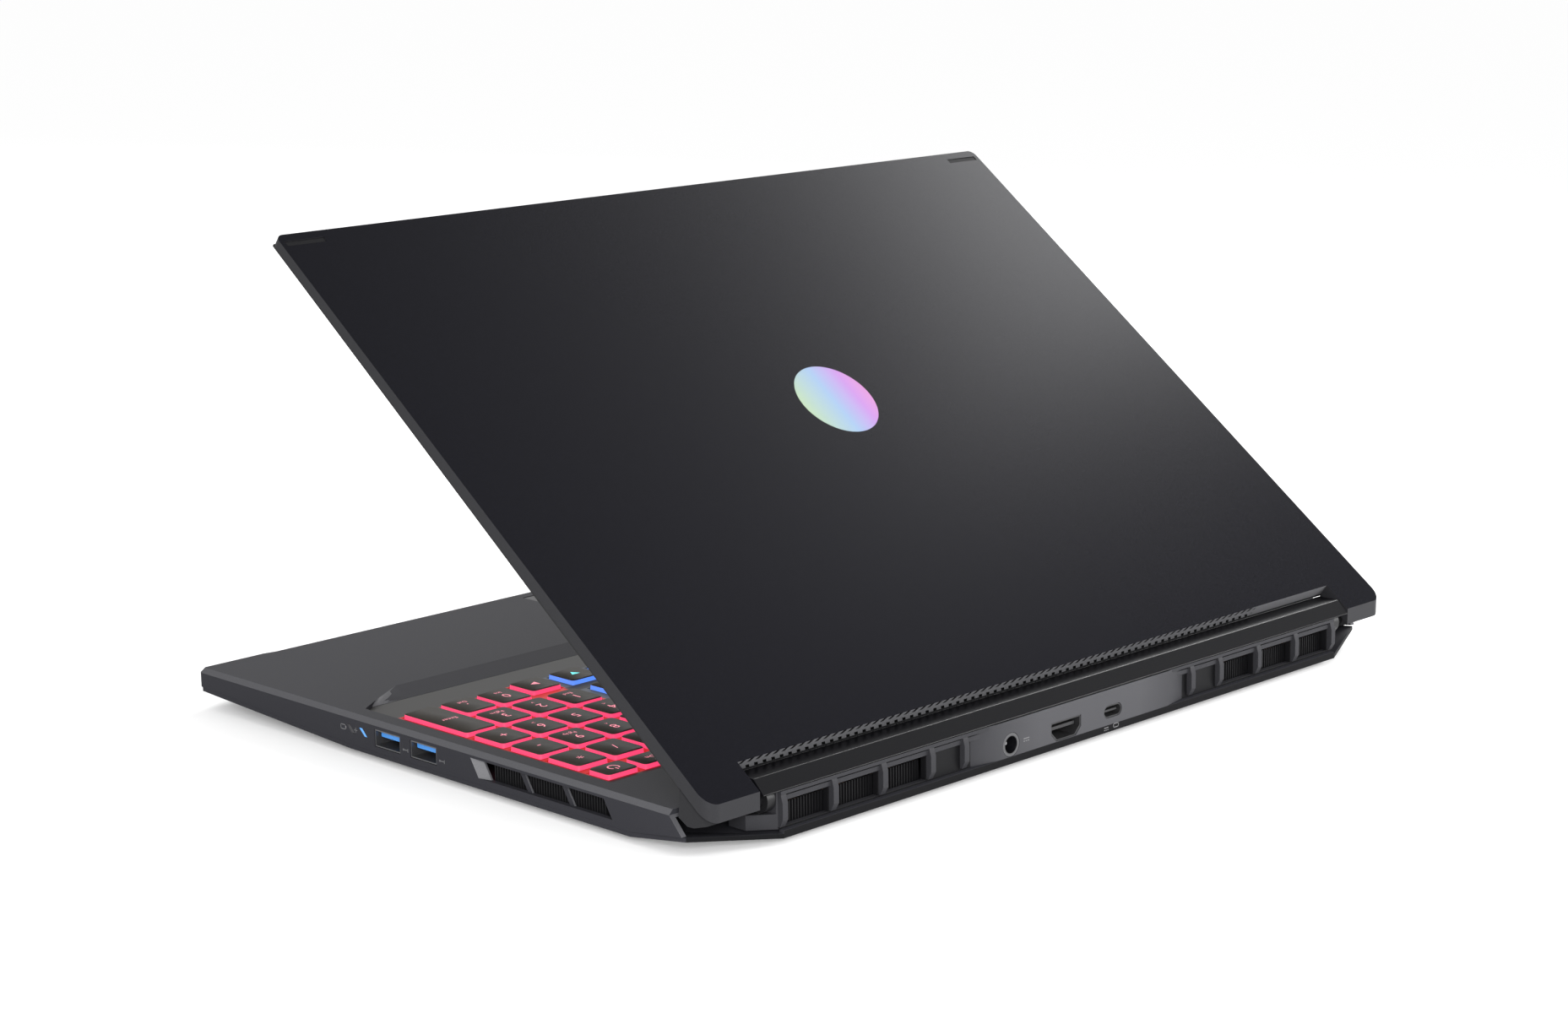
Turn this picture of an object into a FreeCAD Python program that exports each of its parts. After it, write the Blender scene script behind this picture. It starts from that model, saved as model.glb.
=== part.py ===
import FreeCAD, Part
import math
import os
import re
import Sketcher

# Driving sizes, in millimetres and degrees.
SIZES = {
    # Keyboard grid: main block of fifteen key widths, then four number pad columns.
    "key_pitch": 17.78,
    "row_pitch": 19.05,
    "pad_pitch": 16.15,
    "pad_gap": 4.2,
    "key_gap": 2.4,
    "row_gap": 2.85,
    "arrow_pitch": 18.5,
    "arrow_depth": 14.4,
    "arrow_drop": 4.4,
    "function_gap": 2.75,
    "function_depth": 10.6,
    "key_height": 3.3,
    "key_proud": 1.7,
    "key_taper": 0.45,
    "key_travel": 1.3,
    "key_fit": 0.35,
    # Base plan: margins round the keyboard and the bands in front of and behind it.
    "well_margin": 3.25,
    "side_margin": 7.5,
    "well_front_margin": 17.6,
    "well_rear_margin": 6.2,
    "palm_depth": 74.25,
    "bevel_depth": 12.0,
    "rear_deck": 36.9,
    "bar_depth": 16.95,
    "bevel_corner_side": 26.0,
    "bevel_corner_deep": 10.5,
    "well_corner": 6.0,
    # Base heights and walls.
    "foot_height": 2.4,
    "floor_wall": 1.6,
    "side_height": 11.1,
    "deck_wall": 2.5,
    "side_wall": 2.0,
    "well_drop": 1.5,
    "front_rise": 4.2,
    "slope_length": 91.25,
    "tail_length": 37.25,
    "tail_rise": 3.4,
    "tail_overhang": 5.5,
    "deck_step": 1.65,
    "wall_bevel": 1.65,
    "corner_radius": 2.5,
    "scoop_depth": 2.65,
    "scoop_fall": 3.0,
    "scoop_inset": 33.5,
    "scoop_run": 14.0,
    # Rear bar: cover over the hinges and ribbed grille below it.
    "ear_width": 22.3,
    "ear_gap": 1.0,
    "hump_radius": 10.8,
    "hump_height": 7.7,
    "hump_slant": 4.5,
    "hump_inset": 0.25,
    "hump_wall": 1.8,
    "parting": 2.9,
    "parting_gap": 0.3,
    "grille_recess": 2.25,
    "grille_wall": 2.2,
    "grille_roof": 3.0,
    "rib_thick": 2.4,
    "rib_chamfer": 2.6,
    "rib_foot": 1.7,
    "rib_fall": 1.3,
    "vent_pitch": 22.9,
    "blank_bay": 16.5,
    "end_bay": 9.2,
    "facet_run": 8.0,
    "facet_deep": 6.4,
    "window_inset": 0.3,
    "window_low": 1.5,
    "window_high": 10.2,
    "port_ramp": 11.0,
    "port_ramp_inset": 4.0,
    "lip_height": 1.0,
    "rim_corner_side": 1.6,
    "rim_corner_deep": 12.85,
    "rim_corner_rise": 3.1,
    "rim_rear_side": 31.7,
    # Rear and side sockets.
    "jack_x": 38.6,
    "jack_z": 9.2,
    "jack_ring": 4.1,
    "jack_bore": 3.0,
    "jack_pin": 0.6,
    "socket_length": 11.0,
    "socket_fit": 0.15,
    "socket_wall": 0.4,
    "video_x": 9.9,
    "video_width": 15.6,
    "video_height": 6.6,
    "video_bevel": 2.8,
    "video_z": 8.6,
    "plug_x": -15.3,
    "plug_width": 9.6,
    "plug_height": 4.3,
    "plug_z": 9.75,
    "usb_width": 14.0,
    "usb_height": 6.0,
    "usb_z": 9.1,
    "usb_front_y": -24.25,
    "usb_rear_y": -4.6,
    "usb_left_y": -10.0,
    "network_y": 9.5,
    "network_width": 14.6,
    "network_height": 8.0,
    "network_z": 8.4,
    "network_wall": 0.6,
    "audio_y": -31.0,
    "audio_ring": 2.9,
    "audio_bore": 1.75,
    "light_lead_y": -45.9,
    "light_step": 6.9,
    "light_height": 2.6,
    "light_thick": 1.5,
    "light_lean": 2.9,
    "light_z": 8.35,
    # Side vents.
    "vent_front_y": 20.65,
    "vent_length": 66.4,
    "vent_lean": 4.0,
    "vent_low": 2.2,
    "vent_high": 8.5,
    "vent_recess": 1.3,
    "vent_lip": 5.2,
    "vent_rib": 2.3,
    # Slit strip in the deck behind the keyboard.
    "slit_pitch": 3.8,
    "slit_width": 1.15,
    "slit_length": 5.2,
    "slit_reach": 117.0,
    "slit_row_y": 15.0,
    "slit_row_gap": 4.6,
    "slit_turn": 40.0,
    # Touchpad.
    "touchpad_width": 127.0,
    "touchpad_depth": 64.0,
    "touchpad_thick": 1.1,
    "touchpad_front": 8.0,
    "touchpad_sink": 0.15,
    "touchpad_fit": 0.35,
    # Hinges.
    "hinge_inset": 6.0,
    "hinge_drop": 0.1,
    "pin_radius": 1.9,
    "pin_fit": 0.04,
    "pin_seat": 0.1,
    "knuckle_radius": 4.2,
    "knuckle_width": 3.4,
    "knuckle_inset": 3.2,
    "leaf_width": 22.0,
    "leaf_depth": 26.0,
    "leaf_thick": 1.1,
    "arm_width": 10.0,
    "arm_length": 58.0,
    "arm_thick": 1.0,
    "arm_fit": 0.3,
    # Lid, measured in its closed position from the hinge axis.
    "lid_angle": 37.463,
    "lid_gap": 0.8,
    "lid_setback": 3.97,
    "lid_overhang": 1.17,
    "lid_rear_thick": 6.04,
    "lid_front_thick": 4.49,
    "notch_depth": 12.4,
    "ear_run": 3.74,
    "ear_corner": 5.0,
    "lid_corner": 3.0,
    "lid_plate": 1.3,
    "lid_rim": 2.2,
    "bezel_thick": 0.95,
    "bezel_seam": 0.2,
    "bezel_inset": 0.5,
    "bezel_top": 9.5,
    "bezel_side": 5.8,
    "bezel_chin": 25.6,
    "panel_lap": 2.2,
    "panel_thick": 1.9,
    "ear_cover_inset": 1.0,
    "ear_cover_drop": 7.0,
    "ear_cover_wall": 2.0,
    "webcam_width": 44.0,
    "webcam_depth": 4.4,
    "webcam_lens": 1.6,
    "antenna_width": 18.5,
    "antenna_depth": 2.3,
    "antenna_inset": 3.4,
    "antenna_thick": 0.6,
    "bumper_radius": 3.0,
    "bumper_height": 0.6,
    "bumper_inset": 3.6,
    "emblem_radius": 17.0,
    "emblem_thick": 0.4,
    "emblem_rise": 147.0,
    # Inside the base.
    "fan_x": 106.0,
    "fan_inset": 38.5,
    "fan_side": 66.0,
    "fan_height": 5.2,
    "fan_wall": 0.8,
    "fan_chamber": 30.5,
    "blade_reach": 29.0,
    "blade_thick": 0.9,
    "hub_radius": 11.0,
    "rotor_height": 3.4,
    "shaft_radius": 1.5,
    "shaft_fit": 0.05,
    "fin_thick": 0.6,
    "fin_pitch": 3.2,
    "fin_depth": 9.5,
    "fin_plate": 0.8,
    "stack_height": 8.2,
    "pipe_width": 8.0,
    "pipe_thick": 1.5,
    "pipe_x": 48.0,
    "board_half": 66.0,
    "board_depth": 104.0,
    "board_thick": 1.4,
    "board_inset": 6.0,
    "standoff": 1.2,
    "chip_side": 30.0,
    "chip_gap": 10.0,
    "memory_width": 30.0,
    "memory_length": 69.6,
    "card_thick": 1.2,
    "drive_gap": 4.0,
    "drive_width": 22.0,
    "drive_length": 60.0,
    "radio_length": 30.0,
    "plate_thick": 0.8,
    "plate_wall": 1.2,
    "battery_gap": 12.2,
    "battery_depth": 60.0,
    "battery_thick": 3.9,
    "inner_gap": 0.3,
    "speaker_width": 26.0,
    "speaker_depth": 46.0,
    "speaker_thick": 3.6,
    # Underside.
    "foot_length": 108.0,
    "foot_depth": 8.0,
    "foot_rear": 30.0,
    "foot_front": 44.0,
    "intake_width": 52.0,
    "intake_slot": 2.4,
    "intake_pitch": 5.4,
    "screw_radius": 2.6,
    "screw_head": 0.5,
}

# Places worked out from the driving sizes. X runs to the user's right, Y to the rear, Z up.
LAYOUT = {
    "keyboard_half": "(15 * key_pitch + pad_gap + 4 * pad_pitch) / 2",
    "well_half": "keyboard_half + well_margin",
    "half_width": "well_half + side_margin",
    "rows_depth": "5 * row_pitch + function_gap + function_depth",
    "well_depth": "well_front_margin + rows_depth + well_rear_margin",
    "base_depth": "palm_depth + bevel_depth + well_depth + rear_deck + bar_depth",
    "front": "-base_depth / 2",
    "rear": "base_depth / 2",
    "bevel_front": "front + palm_depth",
    "well_front": "bevel_front + bevel_depth",
    "keys_front": "well_front + well_front_margin",
    "function_front": "keys_front + 5 * row_pitch + function_gap",
    "well_rear": "function_front + function_depth + well_rear_margin",
    "deck_rear": "well_rear + rear_deck",
    "deck_end": "deck_rear - deck_step",
    "tail_front": "rear - tail_length",
    "slope_start": "front + slope_length",
    "pad_left": "-keyboard_half + 15 * key_pitch + pad_gap",
    "base_floor": "foot_height + floor_wall",
    "deck_top": "base_floor + side_height",
    "deck_under": "deck_top - deck_wall",
    "well_floor": "deck_top - well_drop",
    "key_top": "well_floor + key_proud",
    "key_base": "key_top - key_height",
    "hinge_y": "rear - hinge_inset",
    "hinge_z": "deck_top - hinge_drop",
    "hump_half": "half_width - ear_width - ear_gap",
    "hump_top": "deck_top + hump_height",
    "hump_base": "deck_top + parting",
    "grille_top": "hump_base - parting_gap",
    "grille_back": "rear - grille_recess",
    "grille_front": "deck_rear + 0.6",
    "rib_last": "hump_half - end_bay",
    "rib_inner": "rib_last - 3 * vent_pitch - blank_bay",
    "rib_top": "grille_top - 0.9",
    "lid_inner": "deck_top + lid_gap - hinge_z",
    "lid_outer": "lid_inner + lid_rear_thick",
    "lid_height": "hinge_y + lid_overhang - front - lid_setback",
    "lid_top": "lid_overhang - lid_height",
    "lid_top_outer": "lid_inner + lid_front_thick",
    "notch_edge": "lid_overhang - notch_depth",
    "ear_inner": "half_width - ear_width",
    "rim_low": "lid_inner + bezel_thick + bezel_seam",
    "screen_top": "lid_top + bezel_top",
    "screen_low": "notch_edge - bezel_chin",
    "screen_half": "half_width - bezel_side",
    "fan_y": "rear - bar_depth - fan_inset",
    "board_front": "well_rear - board_inset - board_depth",
    "board_low": "base_floor + standoff",
    "board_top": "board_low + board_thick",
    "touchpad_mid": "-keyboard_half + 7.5 * key_pitch",
    "plate_low": "key_base - key_travel - 0.3 - plate_thick",
    "stack_front": "grille_front + 1.8",
}

doc = FreeCAD.newDocument("laptop")
sheet = doc.addObject("Spreadsheet::Sheet", "sizes")
for row, (name, value) in enumerate(SIZES.items(), start=1):
    sheet.set("A%d" % row, name)
    sheet.set("B%d" % row, str(value))
    sheet.setAlias("B%d" % row, name)
doc.recompute()
layout = doc.addObject("App::VarSet", "layout")


def qualified(formula):
    """A formula in plain names, with each name tied to the sheet or the layout."""
    def owner(match):
        word = match.group(0)
        if word in SIZES:
            return "sizes." + word
        return "layout." + word if word in LAYOUT else word
    return re.sub(r"[a-z_]+", owner, str(formula))


for name, formula in LAYOUT.items():
    layout.addProperty("App::PropertyFloat", name, "Layout")
    layout.setExpression(name, qualified(formula))
doc.recompute()


def num(formula):
    return float(layout.evalExpression(qualified(formula)))


def bind(thing, path, formula):
    thing.setExpression(path, qualified(formula))


def new_body(label):
    body = doc.addObject("PartDesign::Body", label)
    body.AllowCompound = True
    return body


def arc_through(start, end, radius):
    """Arc from start to end, turning left round its centre for a positive radius."""
    chord = end - start
    middle = (start + end) * 0.5
    side = FreeCAD.Vector(-chord.y, chord.x, 0).normalize()
    rise = math.sqrt(radius ** 2 - (chord.Length / 2) ** 2)
    sign = 1 if radius > 0 else -1
    crown = middle - side * sign * (abs(radius) - rise)
    return Part.Arc(start, crown, end)


def outline(sketch, points):
    """Closed outline. A third value on a point makes the side that follows it an arc."""
    first = sketch.GeometryCount
    places = [FreeCAD.Vector(num(point[0]), num(point[1]), 0) for point in points]
    count = len(points)
    rules = []
    ties = []
    heads = []
    tails = []
    for index, point in enumerate(points):
        start, end = places[index], places[(index + 1) % count]
        if len(point) > 2:
            curve = arc_through(start, end, num(point[2]))
            forward = num(point[2]) > 0
            heads.append(1 if forward else 2)
            tails.append(2 if forward else 1)
        else:
            curve = Part.LineSegment(start, end)
            heads.append(1)
            tails.append(2)
        sketch.addGeometry(curve, False)
    for index, point in enumerate(points):
        after = (index + 1) % count
        rules.append(Sketcher.Constraint("Coincident", first + index, tails[index],
                                         first + after, heads[after]))
    for index, point in enumerate(points):
        for kind, formula, value in (("DistanceX", point[0], places[index].x),
                                     ("DistanceY", point[1], places[index].y)):
            rules.append(Sketcher.Constraint(kind, -1, 1, first + index, heads[index], value))
            ties.append((len(rules) - 1, formula))
        if len(point) > 2:
            rules.append(Sketcher.Constraint("Radius", first + index, abs(num(point[2]))))
            ties.append((len(rules) - 1, "abs(%s)" % point[2]))
    base = sketch.ConstraintCount
    sketch.addConstraint(rules)
    for index, formula in ties:
        bind(sketch, "Constraints[%d]" % (base + index), formula)


def ring(sketch, x, y, radius):
    """Circle bound by its centre and radius."""
    index = sketch.addGeometry(Part.Circle(FreeCAD.Vector(num(x), num(y), 0),
                                           FreeCAD.Vector(0, 0, 1), num(radius)), False)
    base = sketch.ConstraintCount
    sketch.addConstraint([Sketcher.Constraint("DistanceX", -1, 1, index, 3, num(x)),
                          Sketcher.Constraint("DistanceY", -1, 1, index, 3, num(y)),
                          Sketcher.Constraint("Radius", index, num(radius))])
    for offset, formula in enumerate((x, y, radius)):
        bind(sketch, "Constraints[%d]" % (base + offset), formula)


def sketch_on(body, plane, offset, *outlines):
    """Sketch on one of the body's origin planes, moved along its normal by offset."""
    sketch = body.newObject("Sketcher::SketchObject", body.Name + "_sketch")
    support = [part for part in body.Origin.OriginFeatures if part.Role == plane + "_Plane"][0]
    sketch.AttachmentSupport = [(support, "")]
    sketch.MapMode = "FlatFace"
    bind(sketch, "AttachmentOffset.Base.z", offset)
    for points in outlines:
        if len(points) == 3 and not isinstance(points[0], tuple):
            ring(sketch, *points)
        else:
            outline(sketch, points)
    return sketch


def pad(body, sketch, length, midplane=False, reverse=False):
    feature = body.newObject("PartDesign::Pad", body.Name + "_pad")
    feature.Profile = sketch
    bind(feature, "Length", length)
    feature.Midplane = midplane
    feature.Reversed = reverse
    doc.recompute()
    return feature


def pocket(body, sketch, length, midplane=False, reverse=False):
    """Pocket that has to take material away."""
    before = body.Shape.Volume
    feature = body.newObject("PartDesign::Pocket", body.Name + "_pocket")
    feature.Profile = sketch
    bind(feature, "Length", length)
    feature.Midplane = midplane
    feature.Reversed = reverse
    doc.recompute()
    if not feature.Shape.Volume < before - 1e-6:
        raise RuntimeError("pocket on %s cuts nothing" % body.Name)
    return feature


def carve(body, mouth, floor):
    """Hollow with straight sloping sides between two outlines."""
    feature = body.newObject("PartDesign::SubtractiveLoft", body.Name + "_hollow")
    feature.Profile = mouth
    feature.Sections = [floor]
    feature.Ruled = True
    doc.recompute()
    return feature


def rectangle(x_low, x_high, y_low, y_high):
    return [(x_low, y_low), (x_high, y_low), (x_high, y_high), (x_low, y_high)]


def mirrored(points):
    return [("-(%s)" % x, y) for x, y in reversed(points)]


def edges_where(shape, test):
    return ["Edge%d" % (index + 1) for index, edge in enumerate(shape.Edges) if test(edge)]


def dress(body, kind, test, size):
    """Fillet or chamfer on the edges of the body's last feature that pass the test."""
    base = body.Tip
    feature = body.newObject("PartDesign::" + kind, body.Name + "_" + kind.lower())
    feature.Base = (base, edges_where(base.Shape, test))
    bind(feature, "Radius" if kind == "Fillet" else "Size", size)
    doc.recompute()
    return feature


def box(x_low, x_high, y_low, y_high, z_low, z_high, label="block"):
    block = doc.addObject("Part::Box", label)
    for size, low, high in (("Length", x_low, x_high), ("Width", y_low, y_high), ("Height", z_low, z_high)):
        bind(block, size, "(%s) - (%s)" % (high, low))
    for axis, low in (("x", x_low), ("y", y_low), ("z", z_low)):
        bind(block, "Placement.Base." + axis, low)
    return block


def rod(radius, length, x, y, z, turn=None):
    """Round bar from a point, along Z or turned to run along X or Y."""
    bar = doc.addObject("Part::Cylinder", "rod")
    bind(bar, "Radius", radius)
    bind(bar, "Height", length)
    if turn == "x":
        bar.Placement.Rotation = FreeCAD.Rotation(FreeCAD.Vector(0, 1, 0), 90)
    if turn == "y":
        bar.Placement.Rotation = FreeCAD.Rotation(FreeCAD.Vector(-1, 0, 0), 90)
    for axis, place in (("x", x), ("y", y), ("z", z)):
        bind(bar, "Placement.Base." + axis, place)
    return bar


def fuse(parts, label="joined"):
    joined = doc.addObject("Part::MultiFuse", label)
    joined.Shapes = parts
    joined.Refine = True
    return joined


def group(parts, label):
    together = doc.addObject("Part::Compound", label)
    together.Links = parts
    return together


def cut(base, tool, label="trimmed"):
    trimmed = doc.addObject("Part::Cut", label)
    trimmed.Base = base
    trimmed.Tool = tool
    trimmed.Refine = True
    return trimmed


def span(side, near, far):
    """Low and high X of a piece between two distances from the middle, on one side."""
    return (near, far) if side > 0 else ("-(%s)" % far, "-(%s)" % near)


def hang_on_lid(piece):
    """Turn a lid piece about the hinge axis from its closed place to its rest angle."""
    piece.Placement = FreeCAD.Placement(FreeCAD.Vector(0, num("hinge_y"), num("hinge_z")),
                                        FreeCAD.Rotation(FreeCAD.Vector(-1, 0, 0), num("lid_angle")))
    bind(piece, "Placement.Base.y", "hinge_y")
    bind(piece, "Placement.Base.z", "hinge_z")
    bind(piece, "Placement.Rotation.Angle", "lid_angle")
    return piece


# Keyboard plan: each key is a name of its node and four sides of its cell.
def row_cells(row, widths, first="-keyboard_half"):
    """Cells of one row of the main block, left to right, from widths in key units."""
    cells = []
    start = 0.0
    for width in widths:
        x_low = "%s + %.2f * key_pitch" % (first, start)
        x_high = "%s + %.2f * key_pitch" % (first, start + width)
        cells.append((x_low, x_high, "keys_front + %d * row_pitch" % row,
                      "keys_front + %d * row_pitch" % (row + 1)))
        start += width
    return cells


def pad_cell(column, row, rows=1):
    """Cell of the number pad: column from the left, row from the front."""
    return ("pad_left + %d * pad_pitch" % column, "pad_left + %d * pad_pitch" % (column + 1),
            "keys_front + %d * row_pitch" % row, "keys_front + %d * row_pitch" % (row + rows))


def function_cell(x_low, x_high):
    return (x_low, x_high, "function_front - row_gap / 2", "function_front + function_depth + row_gap / 2")


def arrow_cell(step):
    """Arrow keys stand lower than the front row, ending under the first pad column."""
    x_high = "pad_left + pad_pitch - 1.1 - %d * arrow_pitch" % step
    y_high = "keys_front + row_pitch - arrow_drop"
    return ("%s - pad_pitch" % x_high, x_high, "%s - arrow_depth - row_gap" % y_high, y_high)


function_main = [function_cell("-keyboard_half + %.4f * key_pitch" % (step * 15 / 16),
                               "-keyboard_half + %.4f * key_pitch" % ((step + 1) * 15 / 16))
                 for step in range(16)]
function_pad = [function_cell("pad_left + %d * pad_pitch" % step, "pad_left + %d * pad_pitch" % (step + 1))
                for step in range(3)]
front_cells = row_cells(0, [1.25, 1, 1, 1, 5.75, 1, 1])
shift_cells = row_cells(1, [2.25] + [1] * 10 + [1.75, 1])
KEYS = {
    "function_row_keys": function_main + function_pad,
    "power_key": [function_cell("pad_left + 3 * pad_pitch", "pad_left + 4 * pad_pitch")],
    "number_row_keys": row_cells(4, [1] * 13 + [2]),
    "upper_row_keys": row_cells(3, [1.5] + [1] * 12 + [1.5]),
    "home_row_keys": row_cells(2, [1.75] + [1] * 11 + [2.25]),
    "lower_row_keys": shift_cells[:-1],
    "front_row_keys": front_cells[:4] + front_cells[5:],
    "space_bar": [front_cells[4]],
    "arrow_up_key": [shift_cells[-1]],
    "arrow_right_key": [arrow_cell(0)],
    "arrow_down_key": [arrow_cell(1)],
    "arrow_left_key": [arrow_cell(2)],
    "pad_top_keys": [pad_cell(column, 4) for column in range(4)],
    "pad_seven_to_nine_keys": [pad_cell(column, 3) for column in range(3)],
    "pad_four_to_six_keys": [pad_cell(column, 2) for column in range(3)],
    "pad_one_to_three_keys": [pad_cell(column, 1) for column in range(3)],
    "pad_zero_keys": [pad_cell(column, 0) for column in (1, 2)],
    "pad_minus_key": [pad_cell(3, 3)],
    "pad_plus_key": [pad_cell(3, 2)],
    "pad_enter_key": [pad_cell(3, 0, 2)],
}


def key_cap(cell):
    """Tapered cap standing in its cell, as a wedge whose narrow end is the top."""
    x_low, x_high, y_low, y_high = cell
    cap = doc.addObject("Part::Wedge", "cap")
    wide = "(%s) - (%s) - key_gap" % (x_high, x_low)
    deep = "(%s) - (%s) - row_gap" % (y_high, y_low)
    for path, formula in (("Xmin", "0"), ("Xmax", wide), ("Zmin", "0"), ("Zmax", deep),
                          ("Ymin", "0"), ("Ymax", "key_height"),
                          ("X2min", "key_taper"), ("X2max", wide + " - key_taper"),
                          ("Z2min", "key_taper"), ("Z2max", deep + " - key_taper")):
        bind(cap, path, formula)
    cap.Placement.Rotation = FreeCAD.Rotation(FreeCAD.Vector(1, 0, 0), 90)
    bind(cap, "Placement.Base.x", "(%s) + key_gap / 2" % x_low)
    bind(cap, "Placement.Base.y", "(%s) - row_gap / 2" % y_high)
    bind(cap, "Placement.Base.z", "key_base")
    return cap


def key_hole(cell):
    """Aperture for one key, wider than the cap by the fit all round."""
    x_low, x_high, y_low, y_high = cell
    return box("(%s) + key_gap / 2 - key_fit" % x_low, "(%s) - key_gap / 2 + key_fit" % x_high,
               "(%s) + row_gap / 2 - key_fit" % y_low, "(%s) - row_gap / 2 + key_fit" % y_high,
               "deck_under - 1", "deck_top")


def make_keyboard():
    pieces = [group([key_cap(cell) for cell in cells], label) for label, cells in KEYS.items()]
    frame_body = new_body("frame_blank")
    pad(frame_body, sketch_on(frame_body, "XY", "deck_under", well_plan("inner_gap")), "deck_wall - well_drop")
    holes = group([key_hole(cell) for cells in KEYS.values() for cell in cells], "key_holes")
    pieces.append(cut(frame_body, holes, "keyboard_frame"))
    outer = box("-keyboard_half + 2", "keyboard_half - 2", "keys_front - arrow_drop - row_gap",
                "well_rear - plate_wall", "plate_low", "deck_under")
    inner = box("-keyboard_half", "keyboard_half",
                "keys_front - arrow_drop - row_gap + plate_wall", "well_rear - 2 * plate_wall",
                "plate_low + plate_thick", "deck_under + 1")
    pieces.append(cut(outer, inner, "keyboard_plate"))
    return pieces


# Base shells.
def well_plan(gap="0"):
    """Plan of the keyboard well at its floor, drawn in by a gap."""
    side = "well_half - %s" % gap
    low = "well_front + %s" % gap
    bend = "well_half - well_corner - %s" % gap
    mid = "well_half - bevel_corner_side + 3"
    right = [(side, "well_rear - %s" % gap), (side, "well_front + well_corner * 0.7"), (bend, low), (mid, low)]
    return mirrored(right) + right


def bevel_plan():
    """Plan of the well's mouth at the deck, with the sloping band in front of the keys."""
    right = [("well_half", "well_rear"), ("well_half", "well_front + well_corner * 0.7"),
             ("well_half - bevel_corner_side / 3", "bevel_front + bevel_corner_deep"),
             ("well_half - bevel_corner_side", "bevel_front")]
    return mirrored(right) + right


def window_plan(front, back, low, high):
    """Leaning opening of a side vent: its upper edge lies further forward."""
    return [(front + " + vent_lean", low), (back + " + vent_lean", low), (back, high), (front, high)]


def make_top_deck():
    body = new_body("deck_blank")
    profile = [("front", "base_floor + front_rise"), ("slope_start", "base_floor"), ("tail_front", "base_floor"),
               ("deck_end + tail_overhang", "base_floor + tail_rise"), ("deck_end", "deck_top - wall_bevel"),
               ("deck_end", "deck_top"), ("front", "deck_top")]
    pad(body, sketch_on(body, "YZ", "0", profile), "2 * half_width", midplane=True)
    half, front, top = num("half_width"), num("front"), num("deck_top")

    def front_corner(edge):
        ends = [vertex.Point for vertex in edge.Vertexes]
        upright = ends[0].x * ends[-1].x > 0
        return upright and all(abs(abs(p.x) - half) < 0.01 and abs(p.y - front) < 0.01 for p in ends)

    def upper_rim(edge):
        box_of = edge.BoundBox
        middle = edge.CenterOfMass
        outer = abs(abs(middle.x) - half) < 1.5 or abs(middle.y - front) < 1.5
        return outer and box_of.ZMin > top - 0.01 and (box_of.YMax < num("deck_end") - 1 or box_of.YLength > 50)

    dress(body, "Fillet", front_corner, "corner_radius")
    dress(body, "Chamfer", upper_rim, "wall_bevel")
    cavity = rectangle("-half_width + side_wall", "half_width - side_wall", "front + side_wall", "rear")
    pocket(body, sketch_on(body, "XY", "0", cavity), "deck_under", reverse=True)
    strip = rectangle("-hump_half", "hump_half", "deck_end - 1", "deck_rear")
    pad(body, sketch_on(body, "XY", "deck_under", strip), "deck_wall")
    scoop = [("-half_width + scoop_inset - scoop_run", "front"), ("-half_width + scoop_inset", "front + scoop_depth"),
             ("half_width - scoop_inset", "front + scoop_depth"), ("half_width - scoop_inset + scoop_run", "front"),
             ("half_width - scoop_inset + scoop_run", "front - 1"),
             ("-half_width + scoop_inset - scoop_run", "front - 1")]
    pocket(body, sketch_on(body, "XY", "deck_top", scoop), "scoop_fall")
    mouth = sketch_on(body, "XY", "deck_top", bevel_plan())
    well = sketch_on(body, "XY", "well_floor", well_plan())
    carve(body, mouth, well)
    pocket(body, sketch_on(body, "XY", "well_floor", well_plan()), "deck_wall")
    opening = rectangle("touchpad_mid - touchpad_width / 2 - touchpad_fit",
                        "touchpad_mid + touchpad_width / 2 + touchpad_fit", "front + touchpad_front - touchpad_fit",
                        "front + touchpad_front + touchpad_depth + touchpad_fit")
    pocket(body, sketch_on(body, "XY", "deck_top", opening), "deck_wall + 1")
    low, high = "base_floor + vent_low", "base_floor + vent_high"
    bay = "(vent_length - vent_lip - 1 - 2 * vent_rib) / 3"
    for side in (1, -1):
        face = "half_width" if side > 0 else "-half_width"
        end = "(vent_front_y + vent_length)"
        floor = "half_width - vent_recess" if side > 0 else "-half_width + vent_recess"
        carve(body, sketch_on(body, "YZ", face, window_plan("vent_front_y", end, low, high)),
              sketch_on(body, "YZ", floor, window_plan("(vent_front_y + vent_lip)", end, low, high)))
        windows = []
        for step in range(3):
            start = "(vent_front_y + vent_lip + %d * (%s + vent_rib))" % (step, bay)
            windows.append(window_plan(start, "(%s + %s)" % (start, bay), low, high))
        pocket(body, sketch_on(body, "YZ", face, *windows), "side_wall + 1", reverse=side < 0)
    cutters = deck_slits() + side_port_holes()
    return cut(body, group(cutters, "deck_cutters"), "top_deck")


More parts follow.
